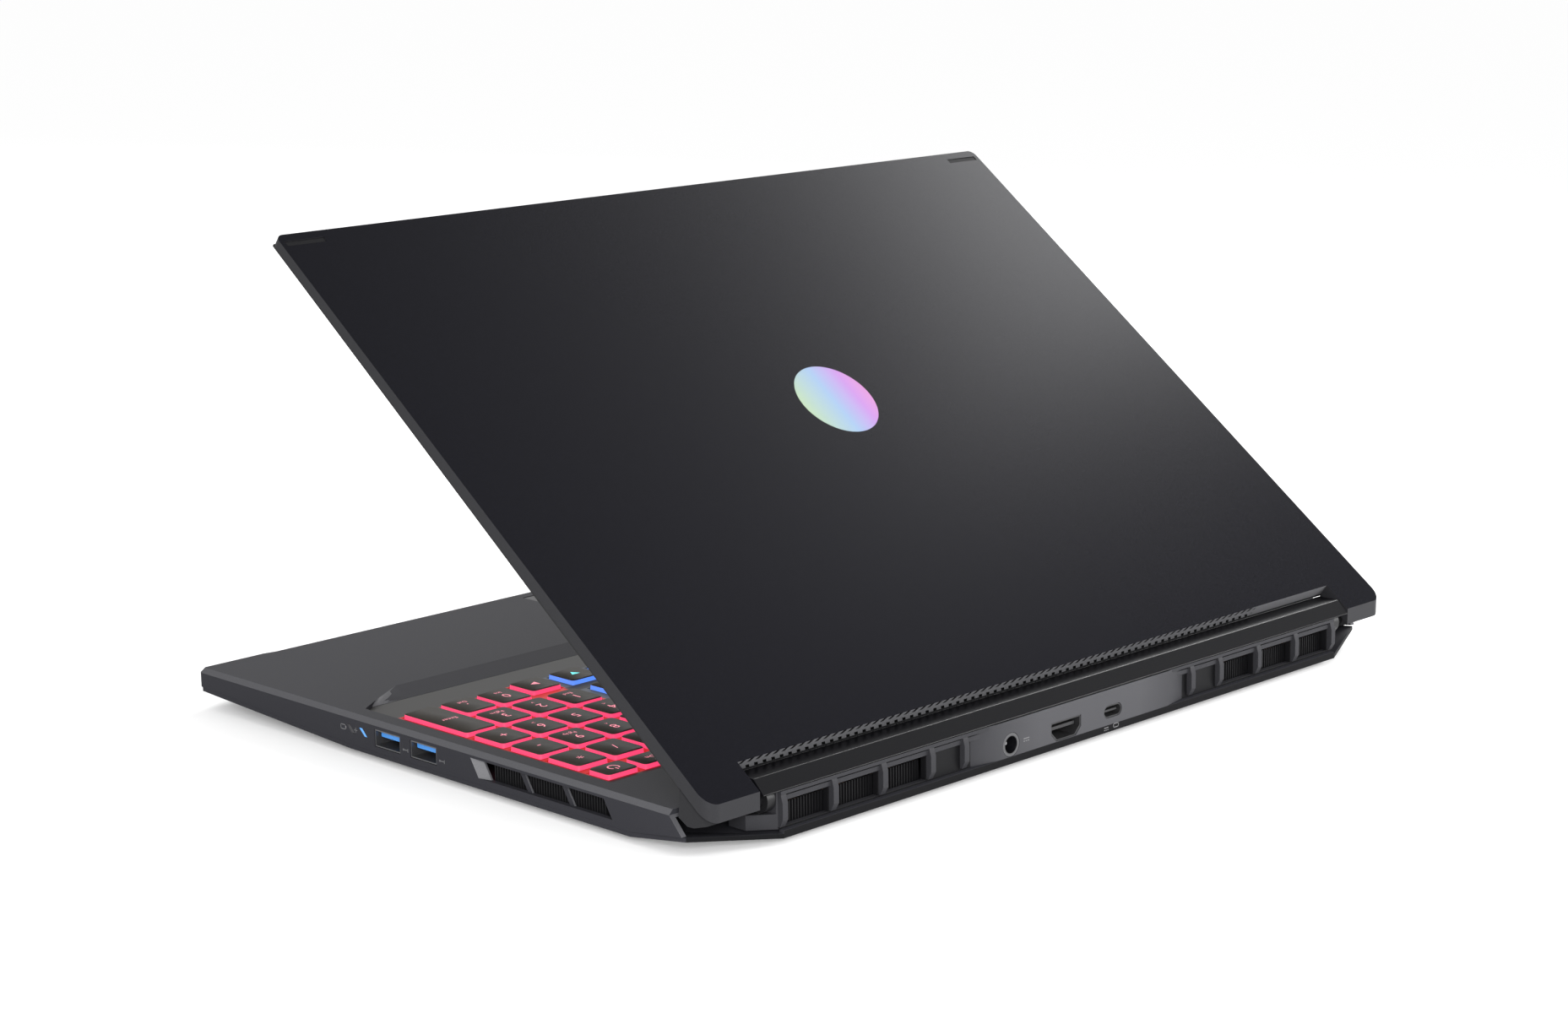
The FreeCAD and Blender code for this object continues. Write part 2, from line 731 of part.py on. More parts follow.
def deck_slits():
    """Two rows of leaning slits, mirrored so that the web between them zigzags."""
    slits = []
    count = int(2 * num("slit_reach") // num("slit_pitch")) + 1
    for index in range(count):
        for row, lean in ((0, 1), (1, -1)):
            slit = doc.addObject("Part::Box", "slit")
            bind(slit, "Length", "slit_width")
            bind(slit, "Width", "slit_length")
            bind(slit, "Height", "deck_wall + 2")
            turn = math.radians(num("slit_turn")) * lean
            slit.Placement.Rotation = FreeCAD.Rotation(FreeCAD.Vector(0, 0, 1), math.degrees(turn))
            bind(slit, "Placement.Rotation.Angle", "slit_turn")
            bind(slit, "Placement.Base.x", "-slit_reach + %d * slit_pitch - %d * slit_length / 2 * 0.64"
                 % (index, -lean))
            bind(slit, "Placement.Base.y", "well_rear + slit_row_y + %d * slit_row_gap - slit_length / 2 * 0.77" % row)
            bind(slit, "Placement.Base.z", "deck_under - 1")
            slits.append(slit)
    return slits


def side_port_holes():
    """Openings in the side walls for the sockets and the two status lights."""
    holes = []
    wall_low, wall_high = "half_width - side_wall - 1", "half_width + 1"
    for side, y in ((1, "usb_front_y"), (1, "usb_rear_y"), (-1, "usb_left_y")):
        x_low, x_high = span(side, wall_low, wall_high)
        holes.append(box(x_low, x_high, "%s - usb_width / 2 - socket_fit" % y, "%s + usb_width / 2 + socket_fit" % y,
                         "usb_z - usb_height / 2 - socket_fit", "usb_z + usb_height / 2 + socket_fit"))
    x_low, x_high = span(-1, wall_low, wall_high)
    holes.append(box(x_low, x_high, "network_y - network_width / 2 - socket_fit",
                     "network_y + network_width / 2 + socket_fit",
                     "network_z - network_height / 2 - socket_fit", "network_z + network_height / 2 + socket_fit"))
    holes.append(rod("audio_ring + socket_fit", "side_wall + 2", "-half_width - 1", "audio_y", "usb_z", "x"))
    body = new_body("light_slots")
    slots = [light_plan(step, "socket_fit") for step in (0, 1)]
    pad(body, sketch_on(body, "YZ", "half_width - side_wall - 1", *slots), "side_wall + 2")
    holes.append(body)
    return holes


def light_plan(step, gap):
    """Leaning bar of one status light, grown by a gap."""
    lead = "(light_lead_y + %d * light_step)" % step
    return [("%s - light_thick / 2 - %s + light_lean" % (lead, gap), "light_z - %s" % gap),
            ("%s + light_thick / 2 + %s + light_lean" % (lead, gap), "light_z - %s" % gap),
            ("%s + light_thick / 2 + %s" % (lead, gap), "light_z + light_height + %s" % gap),
            ("%s - light_thick / 2 - %s" % (lead, gap), "light_z + light_height + %s" % gap)]


def make_status_lights():
    body = new_body("status_lights")
    bars = [light_plan(step, "0") for step in (0, 1)]
    pad(body, sketch_on(body, "YZ", "half_width - side_wall - 0.5", *bars), "side_wall + 0.4")
    return body


def make_bottom_cover():
    body = new_body("floor_plate")
    profile = [("rear", "foot_height"), ("rear", "base_floor"), ("slope_start", "base_floor"),
               ("front", "base_floor + front_rise"), ("front + floor_wall", "foot_height + front_rise"),
               ("slope_start", "foot_height")]
    pad(body, sketch_on(body, "YZ", "0", profile), "2 * half_width", midplane=True)
    tip = [("half_width - corner_radius", "front - 1"), ("half_width + 1", "front - 1"),
           ("half_width + 1", "front + corner_radius"), ("half_width", "front + corner_radius"),
           ("half_width - corner_radius", "front")]
    pocket(body, sketch_on(body, "XY", "base_floor + front_rise + 1", tip, mirrored(tip)), "front_rise + floor_wall + 2")
    corner = [("half_width", "tail_front"), ("half_width + 1", "tail_front"), ("half_width + 1", "rear + 1"),
              ("half_width - rim_rear_side", "rear + 1"), ("half_width - rim_rear_side", "rear")]
    pocket(body, sketch_on(body, "XY", "base_floor", corner, mirrored(corner)), "floor_wall + 1")
    lip = rectangle("-half_width + rim_rear_side", "half_width - rim_rear_side", "grille_back", "rear")
    pad(body, sketch_on(body, "XY", "base_floor", lip), "lip_height")
    posts = [("%d * (board_half - 4)" % side, y, "2.5") for side in (1, -1)
             for y in ("board_front + 4", "well_rear - board_inset - 4")]
    pad(body, sketch_on(body, "XY", "base_floor", *posts), "standoff")
    slot_y = "fan_y - 4 * intake_pitch"
    slot = rectangle("fan_x - intake_width / 2", "fan_x + intake_width / 2",
                     slot_y, slot_y + " + intake_slot")
    slot_sketch = sketch_on(body, "XY", "base_floor", slot, mirrored(slot))
    first = pocket(body, slot_sketch, "floor_wall + 1")
    slots = body.newObject("PartDesign::LinearPattern", "intake_slots")
    slots.Originals = [first]
    slots.Direction = (slot_sketch, ["V_Axis"])
    slots.Occurrences = 9
    bind(slots, "Length", "8 * intake_pitch")
    body.Tip = slots
    doc.recompute()
    return fuse([body, rim_corner(1), rim_corner(-1)], "bottom_cover")


def rim_corner(side):
    """Rear corner of the floor, bent up under the tail of the side wall."""
    low, high = num("base_floor"), num("base_floor + rim_corner_rise")
    points = [(num("half_width"), num("tail_front"), low),
              (num("half_width - rim_rear_side"), num("rear"), low),
              (num("half_width - rim_corner_side"), num("rear - rim_corner_deep"), high)]
    corners = [FreeCAD.Vector(side * x, y, z) for x, y, z in points]
    flap = doc.addObject("Part::Feature", "rim_corner")
    flap.Shape = Part.Face(Part.makePolygon(corners + corners[:1])).extrude(FreeCAD.Vector(0, 0, -num("floor_wall")))
    return flap


def make_rear_grille():
    body = new_body("grille_blank")
    right = [("hump_half", "grille_front"), ("hump_half", "grille_back - facet_deep"),
             ("hump_half - facet_run", "grille_back"), ("rib_inner - port_ramp_inset", "grille_back"),
             ("rib_inner - port_ramp_inset - port_ramp", "rear")]
    plan = right + mirrored(right)
    pad(body, sketch_on(body, "XY", "base_floor + lip_height", plan), "grille_top - base_floor - lip_height")
    inside = [("hump_half - facet_run - grille_wall", "grille_front - 1"),
              ("hump_half - facet_run - grille_wall", "grille_back - grille_wall"),
              ("-(hump_half - facet_run - grille_wall)", "grille_back - grille_wall"),
              ("-(hump_half - facet_run - grille_wall)", "grille_front - 1")]
    pocket(body, sketch_on(body, "XY", "base_floor", inside), "grille_top - base_floor - grille_roof", reverse=True)
    shelf = rectangle("-(hump_half - facet_run)", "hump_half - facet_run", "grille_back - 1", "grille_back + 1.6")
    pad(body, sketch_on(body, "XY", "grille_top - 1.2", shelf), "1.2")
    brow = rectangle("-(hump_half - facet_run)", "hump_half - facet_run", "grille_back - 1", "grille_back + 0.8")
    pad(body, sketch_on(body, "XY", "base_floor + window_high", brow), "1.6")
    rib = [("grille_back - 1", "base_floor + rib_foot"), ("grille_back + 0.8", "base_floor + rib_foot"),
           ("rear", "base_floor + rib_foot + rib_chamfer"), ("rear", "rib_top - rib_chamfer - 0.4"),
           ("grille_back + rib_fall", "rib_top"), ("grille_back - 1", "rib_top")]
    for side in (1, -1):
        last = "%d * rib_last - rib_thick / 2" % side
        outer = sketch_on(body, "YZ", last, rib)
        first = pad(body, outer, "rib_thick")
        ribs = body.newObject("PartDesign::LinearPattern", "ribs")
        ribs.Originals = [first]
        ribs.Direction = (outer, ["N_Axis"])
        ribs.Reversed = side > 0
        ribs.Occurrences = 4
        bind(ribs, "Length", "3 * vent_pitch")
        body.Tip = ribs
        doc.recompute()
        pad(body, sketch_on(body, "YZ", "%d * rib_inner - rib_thick / 2" % side, rib), "rib_thick")
    windows = []
    for step in range(3):
        window = rectangle("rib_last - %d * vent_pitch + rib_thick / 2 + window_inset" % (step + 1),
                           "rib_last - %d * vent_pitch - rib_thick / 2 - window_inset" % step,
                           "base_floor + window_low", "base_floor + window_high")
        windows += [window, mirrored(window)]
    pocket(body, sketch_on(body, "XZ", "-grille_back - 0.5", *windows), "grille_wall + 1", reverse=True)
    cutters = []
    for side in (1, -1):
        x_low, x_high = span(side, "hump_half - facet_run + 0.4", "hump_half + 1")
        cutters.append(box(x_low, x_high, "hinge_y - knuckle_radius - 1.2", "rear + 1",
                           "hinge_z - knuckle_radius - 0.8", "grille_top + 1"))
        x_low, x_high = span(side, "hump_half - knuckle_inset - knuckle_width - 0.4", "hump_half - knuckle_inset + 0.4")
        cutters.append(box(x_low, x_high, "grille_front - 1", "hinge_y", "deck_under - 2 * leaf_thick - 0.4",
                           "hinge_z + knuckle_radius + 1"))
    cutters.append(rod("jack_ring + socket_fit", "bar_depth", "jack_x", "rear - bar_depth + 1", "jack_z", "y"))
    cutters.append(video_shape("video_cutter", "video_width + 2 * socket_fit", "video_height + 2 * socket_fit",
                               "rear - bar_depth", "bar_depth + 1"))
    cutters.append(plug_shape("plug_cutter", "plug_width + 2 * socket_fit", "plug_height + 2 * socket_fit",
                              "rear - bar_depth", "bar_depth + 1"))
    return cut(body, group(cutters, "grille_cutters"), "rear_grille")


def make_hinge_hump():
    body = new_body("hinge_hump")

    def section(gap, base):
        top = "hump_top - %s" % gap
        reach = "(hump_radius - %s)" % gap
        ridge = "rear - hump_inset - hump_slant - %s * 0.41" % gap
        foot = "hinge_y - sqrt(%s ^ 2 - (%s - hinge_z) ^ 2)" % (reach, base)
        crest = "hinge_y - sqrt(%s ^ 2 - (%s - hinge_z) ^ 2)" % (reach, top)
        slant_foot = "rear - hump_inset - %s * 1.41" % gap
        return [(slant_foot, base), (slant_foot, "hump_top - hump_slant"), (ridge, top),
                (crest, top, reach), (foot, base)]

    pad(body, sketch_on(body, "YZ", "0", section("0", "hump_base")), "2 * hump_half", midplane=True)
    pocket(body, sketch_on(body, "YZ", "0", section("hump_wall", "hump_base")),
           "2 * (hump_half - hump_wall)", midplane=True)
    return body


# Sockets.
def video_shape(label, width, height, start, length):
    """Prism with both lower corners cut off, running towards the rear."""
    body = new_body(label)
    low, high = "video_z - (%s) / 2" % height, "video_z + (%s) / 2" % height
    half = "(%s) / 2" % width
    plan = [("video_x - %s + video_bevel" % half, low), ("video_x + %s - video_bevel" % half, low),
            ("video_x + %s" % half, low + " + video_bevel"), ("video_x + %s" % half, high),
            ("video_x - %s" % half, high), ("video_x - %s" % half, low + " + video_bevel")]
    pad(body, sketch_on(body, "XZ", "-(%s)" % start, plan), length, reverse=True)
    return body


def plug_shape(label, width, height, start, length):
    """Prism with rounded ends, running towards the rear."""
    body = new_body(label)
    flat = "((%s) - (%s)) / 2" % (width, height)
    radius = "(%s) / 2" % height
    plan = [("plug_x - %s" % flat, "plug_z - %s" % radius),
            ("plug_x + %s" % flat, "plug_z - %s" % radius, radius + " * 1.0001"),
            ("plug_x + %s" % flat, "plug_z + %s" % radius),
            ("plug_x - %s" % flat, "plug_z + %s" % radius, radius + " * 1.0001")]
    pad(body, sketch_on(body, "XZ", "-(%s)" % start, plan), length, reverse=True)
    return body


def make_rear_sockets():
    back = "rear - 0.3"
    start = "rear - socket_length"
    video_body = video_shape("video_shell", "video_width", "video_height", start, "socket_length - 0.3")
    video_room = video_shape("video_room", "video_width - 2 * socket_wall", "video_height - 2 * socket_wall",
                             start + " + 1", "socket_length")
    video_tongue = box("video_x - video_width * 0.4", "video_x + video_width * 0.4", start, back + " - 1.5",
                       "video_z + 0.2", "video_z + 1.3")
    video = fuse([cut(video_body, video_room), video_tongue], "video_socket")
    plug_body = plug_shape("plug_shell", "plug_width", "plug_height", start, "socket_length - 0.3")
    plug_room = plug_shape("plug_room", "plug_width - 2 * socket_wall", "plug_height - 2 * socket_wall",
                           start + " + 1", "socket_length")
    plug_tongue = box("plug_x - plug_width * 0.35", "plug_x + plug_width * 0.35", start, back + " - 1",
                      "plug_z - 0.35", "plug_z + 0.35")
    plug = fuse([cut(plug_body, plug_room), plug_tongue], "usb_c_socket")
    jack_body = rod("jack_ring", "socket_length - 0.1", "jack_x", start, "jack_z", "y")
    jack_room = rod("jack_bore", "socket_length", "jack_x", start + " + 1", "jack_z", "y")
    jack_pin = rod("jack_pin", "socket_length - 2.5", "jack_x", start, "jack_z", "y")
    jack = fuse([cut(jack_body, jack_room), jack_pin], "power_inlet")
    return [video, plug, jack]


def side_socket(side, y, z, width, height, wall, tongue):
    """Open metal shell in a side wall, with an optional contact tongue in its upper half."""
    deep = "half_width - socket_length - 0.2"
    x_low, x_high = span(side, deep, "half_width - 0.3")
    shell = box(x_low, x_high, "%s - %s / 2" % (y, width), "%s + %s / 2" % (y, width),
                "%s - %s / 2" % (z, height), "%s + %s / 2" % (z, height))
    x_low, x_high = span(side, deep + " + 1", "half_width + 1")
    room = box(x_low, x_high, "%s - %s / 2 + %s" % (y, width, wall), "%s + %s / 2 - %s" % (y, width, wall),
               "%s - %s / 2 + %s" % (z, height, wall), "%s + %s / 2 - %s" % (z, height, wall))
    hollow = cut(shell, room)
    if not tongue:
        return hollow
    x_low, x_high = span(side, deep, "half_width - 2")
    blade = box(x_low, x_high, "%s - %s * 0.4" % (y, width), "%s + %s * 0.4" % (y, width),
                "%s + 0.3" % z, "%s + 2" % z)
    return fuse([hollow, blade])


def make_side_sockets():
    usb = [side_socket(side, y, "usb_z", "usb_width", "usb_height", "socket_wall", True)
           for side, y in ((1, "usb_front_y"), (1, "usb_rear_y"), (-1, "usb_left_y"))]
    network = side_socket(-1, "network_y", "network_z", "network_width", "network_height", "network_wall", False)
    network.Label = "network_socket"
    barrel = rod("audio_ring", "socket_length - 0.1", "-half_width + 0.3", "audio_y", "usb_z", "x")
    bore = rod("audio_bore", "socket_length + 4", "-half_width - 1", "audio_y", "usb_z", "x")
    return [group(usb, "usb_a_sockets"), network, cut(barrel, bore, "audio_socket")]


# Cooling and boards.
def make_fan_housings():
    housings = []
    for side, word in ((1, "right"), (-1, "left")):
        body = new_body("fan_housing_" + word)
        x = "%d * fan_x" % side
        square = rectangle(x + " - fan_side / 2", x + " + fan_side / 2",
                           "fan_y - fan_side / 2", "fan_y + fan_side / 2")
        pad(body, sketch_on(body, "XY", "base_floor", square), "fan_height")
        pocket(body, sketch_on(body, "XY", "base_floor", (x, "fan_y", "fan_chamber")),
               "fan_height - fan_wall", reverse=True)
        outlet = rectangle(x + " - fan_side / 2 + 3", x + " + fan_side / 2 - 3", "fan_y", "fan_y + fan_side / 2 + 1")
        pocket(body, sketch_on(body, "XY", "base_floor", outlet), "fan_height - fan_wall", reverse=True)
        pad(body, sketch_on(body, "XY", "base_floor + fan_height - fan_wall", (x, "fan_y", "shaft_radius")),
            "fan_height - fan_wall - 0.4", reverse=True)
        housings.append(body)
    return housings


def make_fan_rotors():
    """Hub on the shaft with a ring of leaning blades."""
    rotors = []
    for side, word in ((1, "right"), (-1, "left")):
        body = new_body("fan_rotor_" + word)
        hub = sketch_on(body, "XY", "0", ("0", "0", "hub_radius"))
        pad(body, hub, "rotor_height")
        lean = 5 * side
        blade = [("hub_radius - 0.5", "-blade_thick / 2"), ("blade_reach", "%d - blade_thick / 2" % lean),
                 ("blade_reach", "%d + blade_thick / 2" % lean), ("hub_radius - 0.5", "blade_thick / 2")]
        first = pad(body, sketch_on(body, "XY", "0", blade), "rotor_height")
        blades = body.newObject("PartDesign::PolarPattern", "blades")
        blades.Originals = [first]
        blades.Axis = (hub, ["N_Axis"])
        blades.Angle = 360
        blades.Occurrences = 19
        body.Tip = blades
        doc.recompute()
        pocket(body, sketch_on(body, "XY", "0", ("0", "0", "shaft_radius + shaft_fit")), "rotor_height", reverse=True)
        bind(body, "Placement.Base.x", "%d * fan_x" % side)
        bind(body, "Placement.Base.y", "fan_y")
        bind(body, "Placement.Base.z", "base_floor + 0.5")
        rotors.append(body)
    return rotors


def comb(label, x_low, x_high, y_low, y_high, z_low, along, count, step):
    """Fin stack: a plate with a row of upright fins under it."""
    body = new_body(label)
    plate = rectangle(x_low, x_high, y_low, y_high)
    pad(body, sketch_on(body, "XY", "%s + stack_height - fin_plate" % z_low, plate), "fin_plate")
    if along == "x":
        fin = rectangle(x_low, "%s + fin_thick" % x_low, y_low, y_high)
    else:
        fin = rectangle(x_low, x_high, y_low, "%s + fin_thick" % y_low)
    fin_sketch = sketch_on(body, "XY", z_low, fin)
    first = pad(body, fin_sketch, "stack_height - fin_plate")
    fins = body.newObject("PartDesign::LinearPattern", "fins")
    fins.Originals = [first]
    fins.Direction = (fin_sketch, ["H_Axis" if along == "x" else "V_Axis"])
    fins.Occurrences = count
    bind(fins, "Length", "%d * %s" % (count - 1, step))
    body.Tip = fins
    doc.recompute()
    return body


def make_fin_stacks():
    stacks = []
    rear_count = int((3 * num("vent_pitch") - 4) / num("fin_pitch")) + 1
    side_count = int((num("vent_length") - num("vent_lip") - 6) / num("fin_pitch")) + 1
    for side in (1, -1):
        x_low, x_high = span(side, "rib_last - 3 * vent_pitch + 2",
                             "rib_last - 3 * vent_pitch + 2 + %d * fin_pitch + fin_thick" % (rear_count - 1))
        stacks.append(comb("rear_fins", x_low, x_high, "stack_front", "stack_front + fin_depth",
                           "base_floor", "x", rear_count, "fin_pitch"))
        x_low, x_high = span(side, "well_half - 0.6", "half_width - side_wall")
        y_low = "vent_front_y + vent_lip + vent_lean + 1"
        stacks.append(comb("side_fins", x_low, x_high, y_low,
                           "%s + %d * fin_pitch + fin_thick" % (y_low, side_count - 1),
                           "base_floor", "y", side_count, "fin_pitch"))
    return group(stacks, "fin_stacks")


def make_heat_pipes():
    """Cold plate over the processors and two flat pipes that rise to the rear fin stacks."""
    chip_top = "board_top + card_thick"
    run_top = "%s + pipe_thick" % chip_top
    plate_rear = "board_front + board_depth"
    runs = [box("-pipe_x - pipe_width", "pipe_x + pipe_width", plate_rear + " - 2 * chip_side", plate_rear,
                chip_top, run_top)]
    for side in (1, -1):
        x_low, x_high = span(side, "pipe_x", "pipe_x + pipe_width")
        runs.append(box(x_low, x_high, plate_rear + " - 1", "stack_front", chip_top, run_top))
        runs.append(box(x_low, x_high, "stack_front - 1.4", "stack_front", chip_top,
                        "base_floor + stack_height + pipe_thick"))
        x_low, x_high = span(side, "pipe_x", "rib_last - 3")
        runs.append(box(x_low, x_high, "stack_front - 1.4", "stack_front + pipe_width - 1",
                        "base_floor + stack_height", "base_floor + stack_height + pipe_thick"))
    return fuse(runs, "heat_pipes")


def make_boards():
    rear_edge = "(board_front + board_depth)"
    board = box("-board_half", "board_half", "board_front", rear_edge, "board_low", "board_top", "mainboard")
    chips = [box("%s - chip_side / 2" % x, "%s + chip_side / 2" % x, rear_edge + " - 1.5 * chip_side - 8",
                 rear_edge + " - chip_side / 2 - 8", "board_top", "board_top + card_thick")
             for x in ("-(chip_side + chip_gap) / 2", "(chip_side + chip_gap) / 2")]
    front = "board_front + 2"
    memory = [box("-board_half + 2 + %d * (memory_width + 2)" % step,
                  "-board_half + 2 + %d * (memory_width + 2) + memory_width" % step,
                  front, "board_front + 2 + memory_length / 2", "board_top", "board_top + card_thick")
              for step in (0, 1)]
    drive_x = "-board_half + 2 + 2 * (memory_width + 2) + drive_gap"
    drive = box(drive_x, drive_x + " + drive_length", front, "board_front + 2 + drive_width",
                "board_top", "board_top + card_thick + 0.3", "storage_drive")
    radio = box("board_half - 2 - radio_length", "board_half - 2", "board_front + drive_width + 5",
                "board_front + 1.6 * drive_width + 12", "board_top", "board_top + card_thick", "wireless_card")
    return [board, group(chips, "processors"), group(memory, "memory_modules"), drive, radio]


def make_power_and_sound():
    top = "deck_under - inner_gap"
    reach = "half_width - side_wall - inner_gap - speaker_width - battery_gap"
    battery = box("-(%s)" % reach, reach, "front + side_wall + 9",
                  "front + side_wall + 9 + battery_depth", top + " - battery_thick", top, "battery_pack")
    speakers = []
    for side in (1, -1):
        x_low, x_high = span(side, "half_width - side_wall - inner_gap - speaker_width",
                             "half_width - side_wall - inner_gap")
        speakers.append(box(x_low, x_high, "front + side_wall + 12", "front + side_wall + 12 + speaker_depth",
                            top + " - speaker_thick", top))
    return [battery, group(speakers, "speakers")]


# Underside.
def make_feet_and_screws():
    body = new_body("rubber_feet")
    rear_low = "rear - foot_rear - foot_depth"
    front_low = "front + foot_front"
    rear_foot = [(rear_low, "0"), (rear_low + " + foot_depth", "0"), (rear_low + " + foot_depth", "foot_height"),
                 (rear_low, "foot_height")]
    lift = "foot_height + (slope_start - (%s)) * front_rise / (slope_length - floor_wall)"
    front_foot = [(front_low, "0"), (front_low + " + foot_depth", "0"),
                  (front_low + " + foot_depth", lift % (front_low + " + foot_depth")), (front_low, lift % front_low)]
    for near in ("half_width - rim_rear_side - foot_length", "-(half_width - rim_rear_side)"):
        pad(body, sketch_on(body, "YZ", near, rear_foot, front_foot), "foot_length")
    heads = []
    for x in ("half_width - 12", "half_width / 3", "-half_width / 3", "-(half_width - 12)"):
        for y in ("tail_front - 20", "slope_start + 12"):
            heads.append(rod("screw_radius", "screw_head", x, y, "foot_height - screw_head"))
    return [body, group(heads, "bottom_screws")]


def make_touchpad():
    return box("touchpad_mid - touchpad_width / 2", "touchpad_mid + touchpad_width / 2", "front + touchpad_front",
               "front + touchpad_front + touchpad_depth", "deck_top - touchpad_sink - touchpad_thick",
               "deck_top - touchpad_sink", "touchpad")


# Hinges: a fixed bracket in the rear bar and a pin with an arm in the lid, on each side.
def make_hinge_brackets():
    brackets = []
    for side in (1, -1):
        outer = "hump_half - knuckle_inset"
        inner = "hump_half - knuckle_inset - knuckle_width"
        x_low, x_high = span(side, inner, outer)
        knuckle = rod("knuckle_radius", "knuckle_width", x_low, "hinge_y", "hinge_z", "x")
        web = box(x_low, x_high, "deck_rear + 0.3", "hinge_y", "deck_under - 2 * leaf_thick", "hinge_z + 1")
        neck = box(x_low, x_high, "deck_rear - 4", "deck_rear + 1", "deck_under - 2 * leaf_thick", "deck_under")
        x_low, x_high = span(side, "hump_half - knuckle_inset - leaf_width", outer)
        leaf = box(x_low, x_high, "deck_rear - 2 - leaf_depth", "deck_rear - 2", "deck_under - leaf_thick",
                   "deck_under")
        eye = rod("pin_radius + pin_fit", "knuckle_width + 2", "%d * (%s) - 1" % (side, inner if side > 0 else outer),
                  "hinge_y", "hinge_z", "x")
        brackets.append(cut(fuse([knuckle, web, neck, leaf]), eye))
    return group(brackets, "hinge_brackets")


def make_hinge_arms():
    arms = []
    middle = "(ear_inner + half_width) / 2"
    for side in (1, -1):
        x_low, x_high = span(side, "hump_half - knuckle_inset - knuckle_width", middle + " + arm_width / 2 + 2")
        pin = rod("pin_radius", "%s - (%s)" % (x_high, x_low), x_low, "0", "0", "x")
        x_low, x_high = span(side, middle + " - arm_width / 2", middle + " + arm_width / 2")
        top = "rim_low + panel_thick + 1.2"
        post = box(x_low, x_high, "-pin_radius - 0.6", "-pin_radius / 4", "0", top)
        blade = box(x_low, x_high, "-arm_length", "-pin_radius / 4", top + " - arm_thick", top)
        arms.append(fuse([pin, post, blade]))
    return hang_on_lid(group(arms, "hinge_arms"))


def make_ear_covers():
    """Blocks under the lid's ears that wrap the hinge pins."""
    covers = []
    middle = "(ear_inner + half_width) / 2"
    for side in (1, -1):
        body = new_body("ear_block")
        plan = [("notch_edge", "rim_low"), ("notch_edge", "lid_inner - 0.3"),
                ("notch_edge * 0.56", "-ear_cover_drop"), ("-pin_radius", "-ear_cover_drop * 0.9"),
                ("pin_radius * 0.2", "-ear_cover_drop * 0.63"), ("pin_radius + 1.7", "-0.1"),
                ("lid_overhang + ear_run * (lid_outer - rim_low) / lid_rear_thick * 1.2", "rim_low")]
        x_low, x_high = span(side, "ear_inner + ear_cover_inset", "half_width - ear_cover_inset")
        pad(body, sketch_on(body, "YZ", x_low, plan), "(%s) - (%s)" % (x_high, x_low))
        x_low, x_high = span(side, "ear_inner", "half_width - ear_cover_inset - ear_cover_wall")
        bore = rod("pin_radius + pin_seat", "(%s) - (%s)" % (x_high, x_low), x_low, "0", "0", "x")
        x_low, x_high = span(side, middle + " - arm_width / 2 - arm_fit", middle + " + arm_width / 2 + arm_fit")
        slot = box(x_low, x_high, "-pin_radius - 0.6 - arm_fit", "arm_fit", "-pin_radius - pin_seat",
                   "rim_low + 1")
        covers.append(cut(body, fuse([bore, slot])))
    return hang_on_lid(group(covers, "ear_covers"))


# Lid.
def make_lid_cover():
    body = new_body("lid_blank")
    taper = "(lid_outer - lid_top_outer) / lid_height"
    ear_foot = "lid_overhang + ear_run * (lid_outer - rim_low) / lid_rear_thick * 1.2"
    profile = [("lid_top", "rim_low"), (ear_foot, "rim_low"), ("lid_overhang", "lid_outer"),
               ("lid_top", "lid_top_outer")]
    pad(body, sketch_on(body, "YZ", "0", profile), "2 * half_width", midplane=True)
    half, top = num("half_width"), num("lid_top")

    def upright(edge):
        ends = [vertex.Point for vertex in edge.Vertexes]
        return len(ends) == 2 and all(abs(abs(p.x) - half) < 0.01 for p in ends) and ends[0].x * ends[1].x > 0

    def top_corner(edge):
        return upright(edge) and all(abs(vertex.Y - top) < 0.01 for vertex in edge.Vertexes)

    def ear_corner(edge):
        return upright(edge) and all(vertex.Y > 0 for vertex in edge.Vertexes)

    dress(body, "Fillet", top_corner, "lid_corner")
    dress(body, "Fillet", ear_corner, "ear_corner")
    notch = rectangle("-ear_inner", "ear_inner", "notch_edge", "%s + 1" % ear_foot)
    pocket(body, sketch_on(body, "XY", "0", notch), "2 * lid_outer", reverse=True)
    room_top = [("lid_top + lid_rim", "rim_low"), ("notch_edge - lid_rim", "rim_low"),
                ("notch_edge - lid_rim", "lid_outer - lid_plate - 12.4 * %s" % taper),
                ("lid_top + lid_rim", "lid_top_outer - lid_plate")]
    pocket(body, sketch_on(body, "YZ", "0", room_top), "2 * (half_width - lid_rim)", midplane=True)
    ear_room = [("notch_edge - lid_rim - 1", "rim_low"), ("lid_overhang", "rim_low"),
                ("lid_overhang - 1", "lid_outer - lid_plate - 12.4 * %s" % taper),
                ("notch_edge - lid_rim - 1", "lid_outer - lid_plate - 12.4 * %s" % taper)]
    for side in (1, -1):
        x_low, x_high = span(side, "ear_inner + lid_rim", "half_width - lid_rim")
        pocket(body, sketch_on(body, "YZ", x_low, ear_room), "(%s) - (%s)" % (x_high, x_low), reverse=True)
    inlays = antenna_strips("antenna_thick + 1") + [emblem_disc("emblem_thick + 1")]
    return hang_on_lid(cut(body, group(inlays, "lid_inlays"), "lid_cover"))


def outer_at(y):
    """Height of the lid's outer face at a place along it, closed."""
    return "(lid_outer + (%s - lid_overhang) * (lid_outer - lid_top_outer) / lid_height)" % y


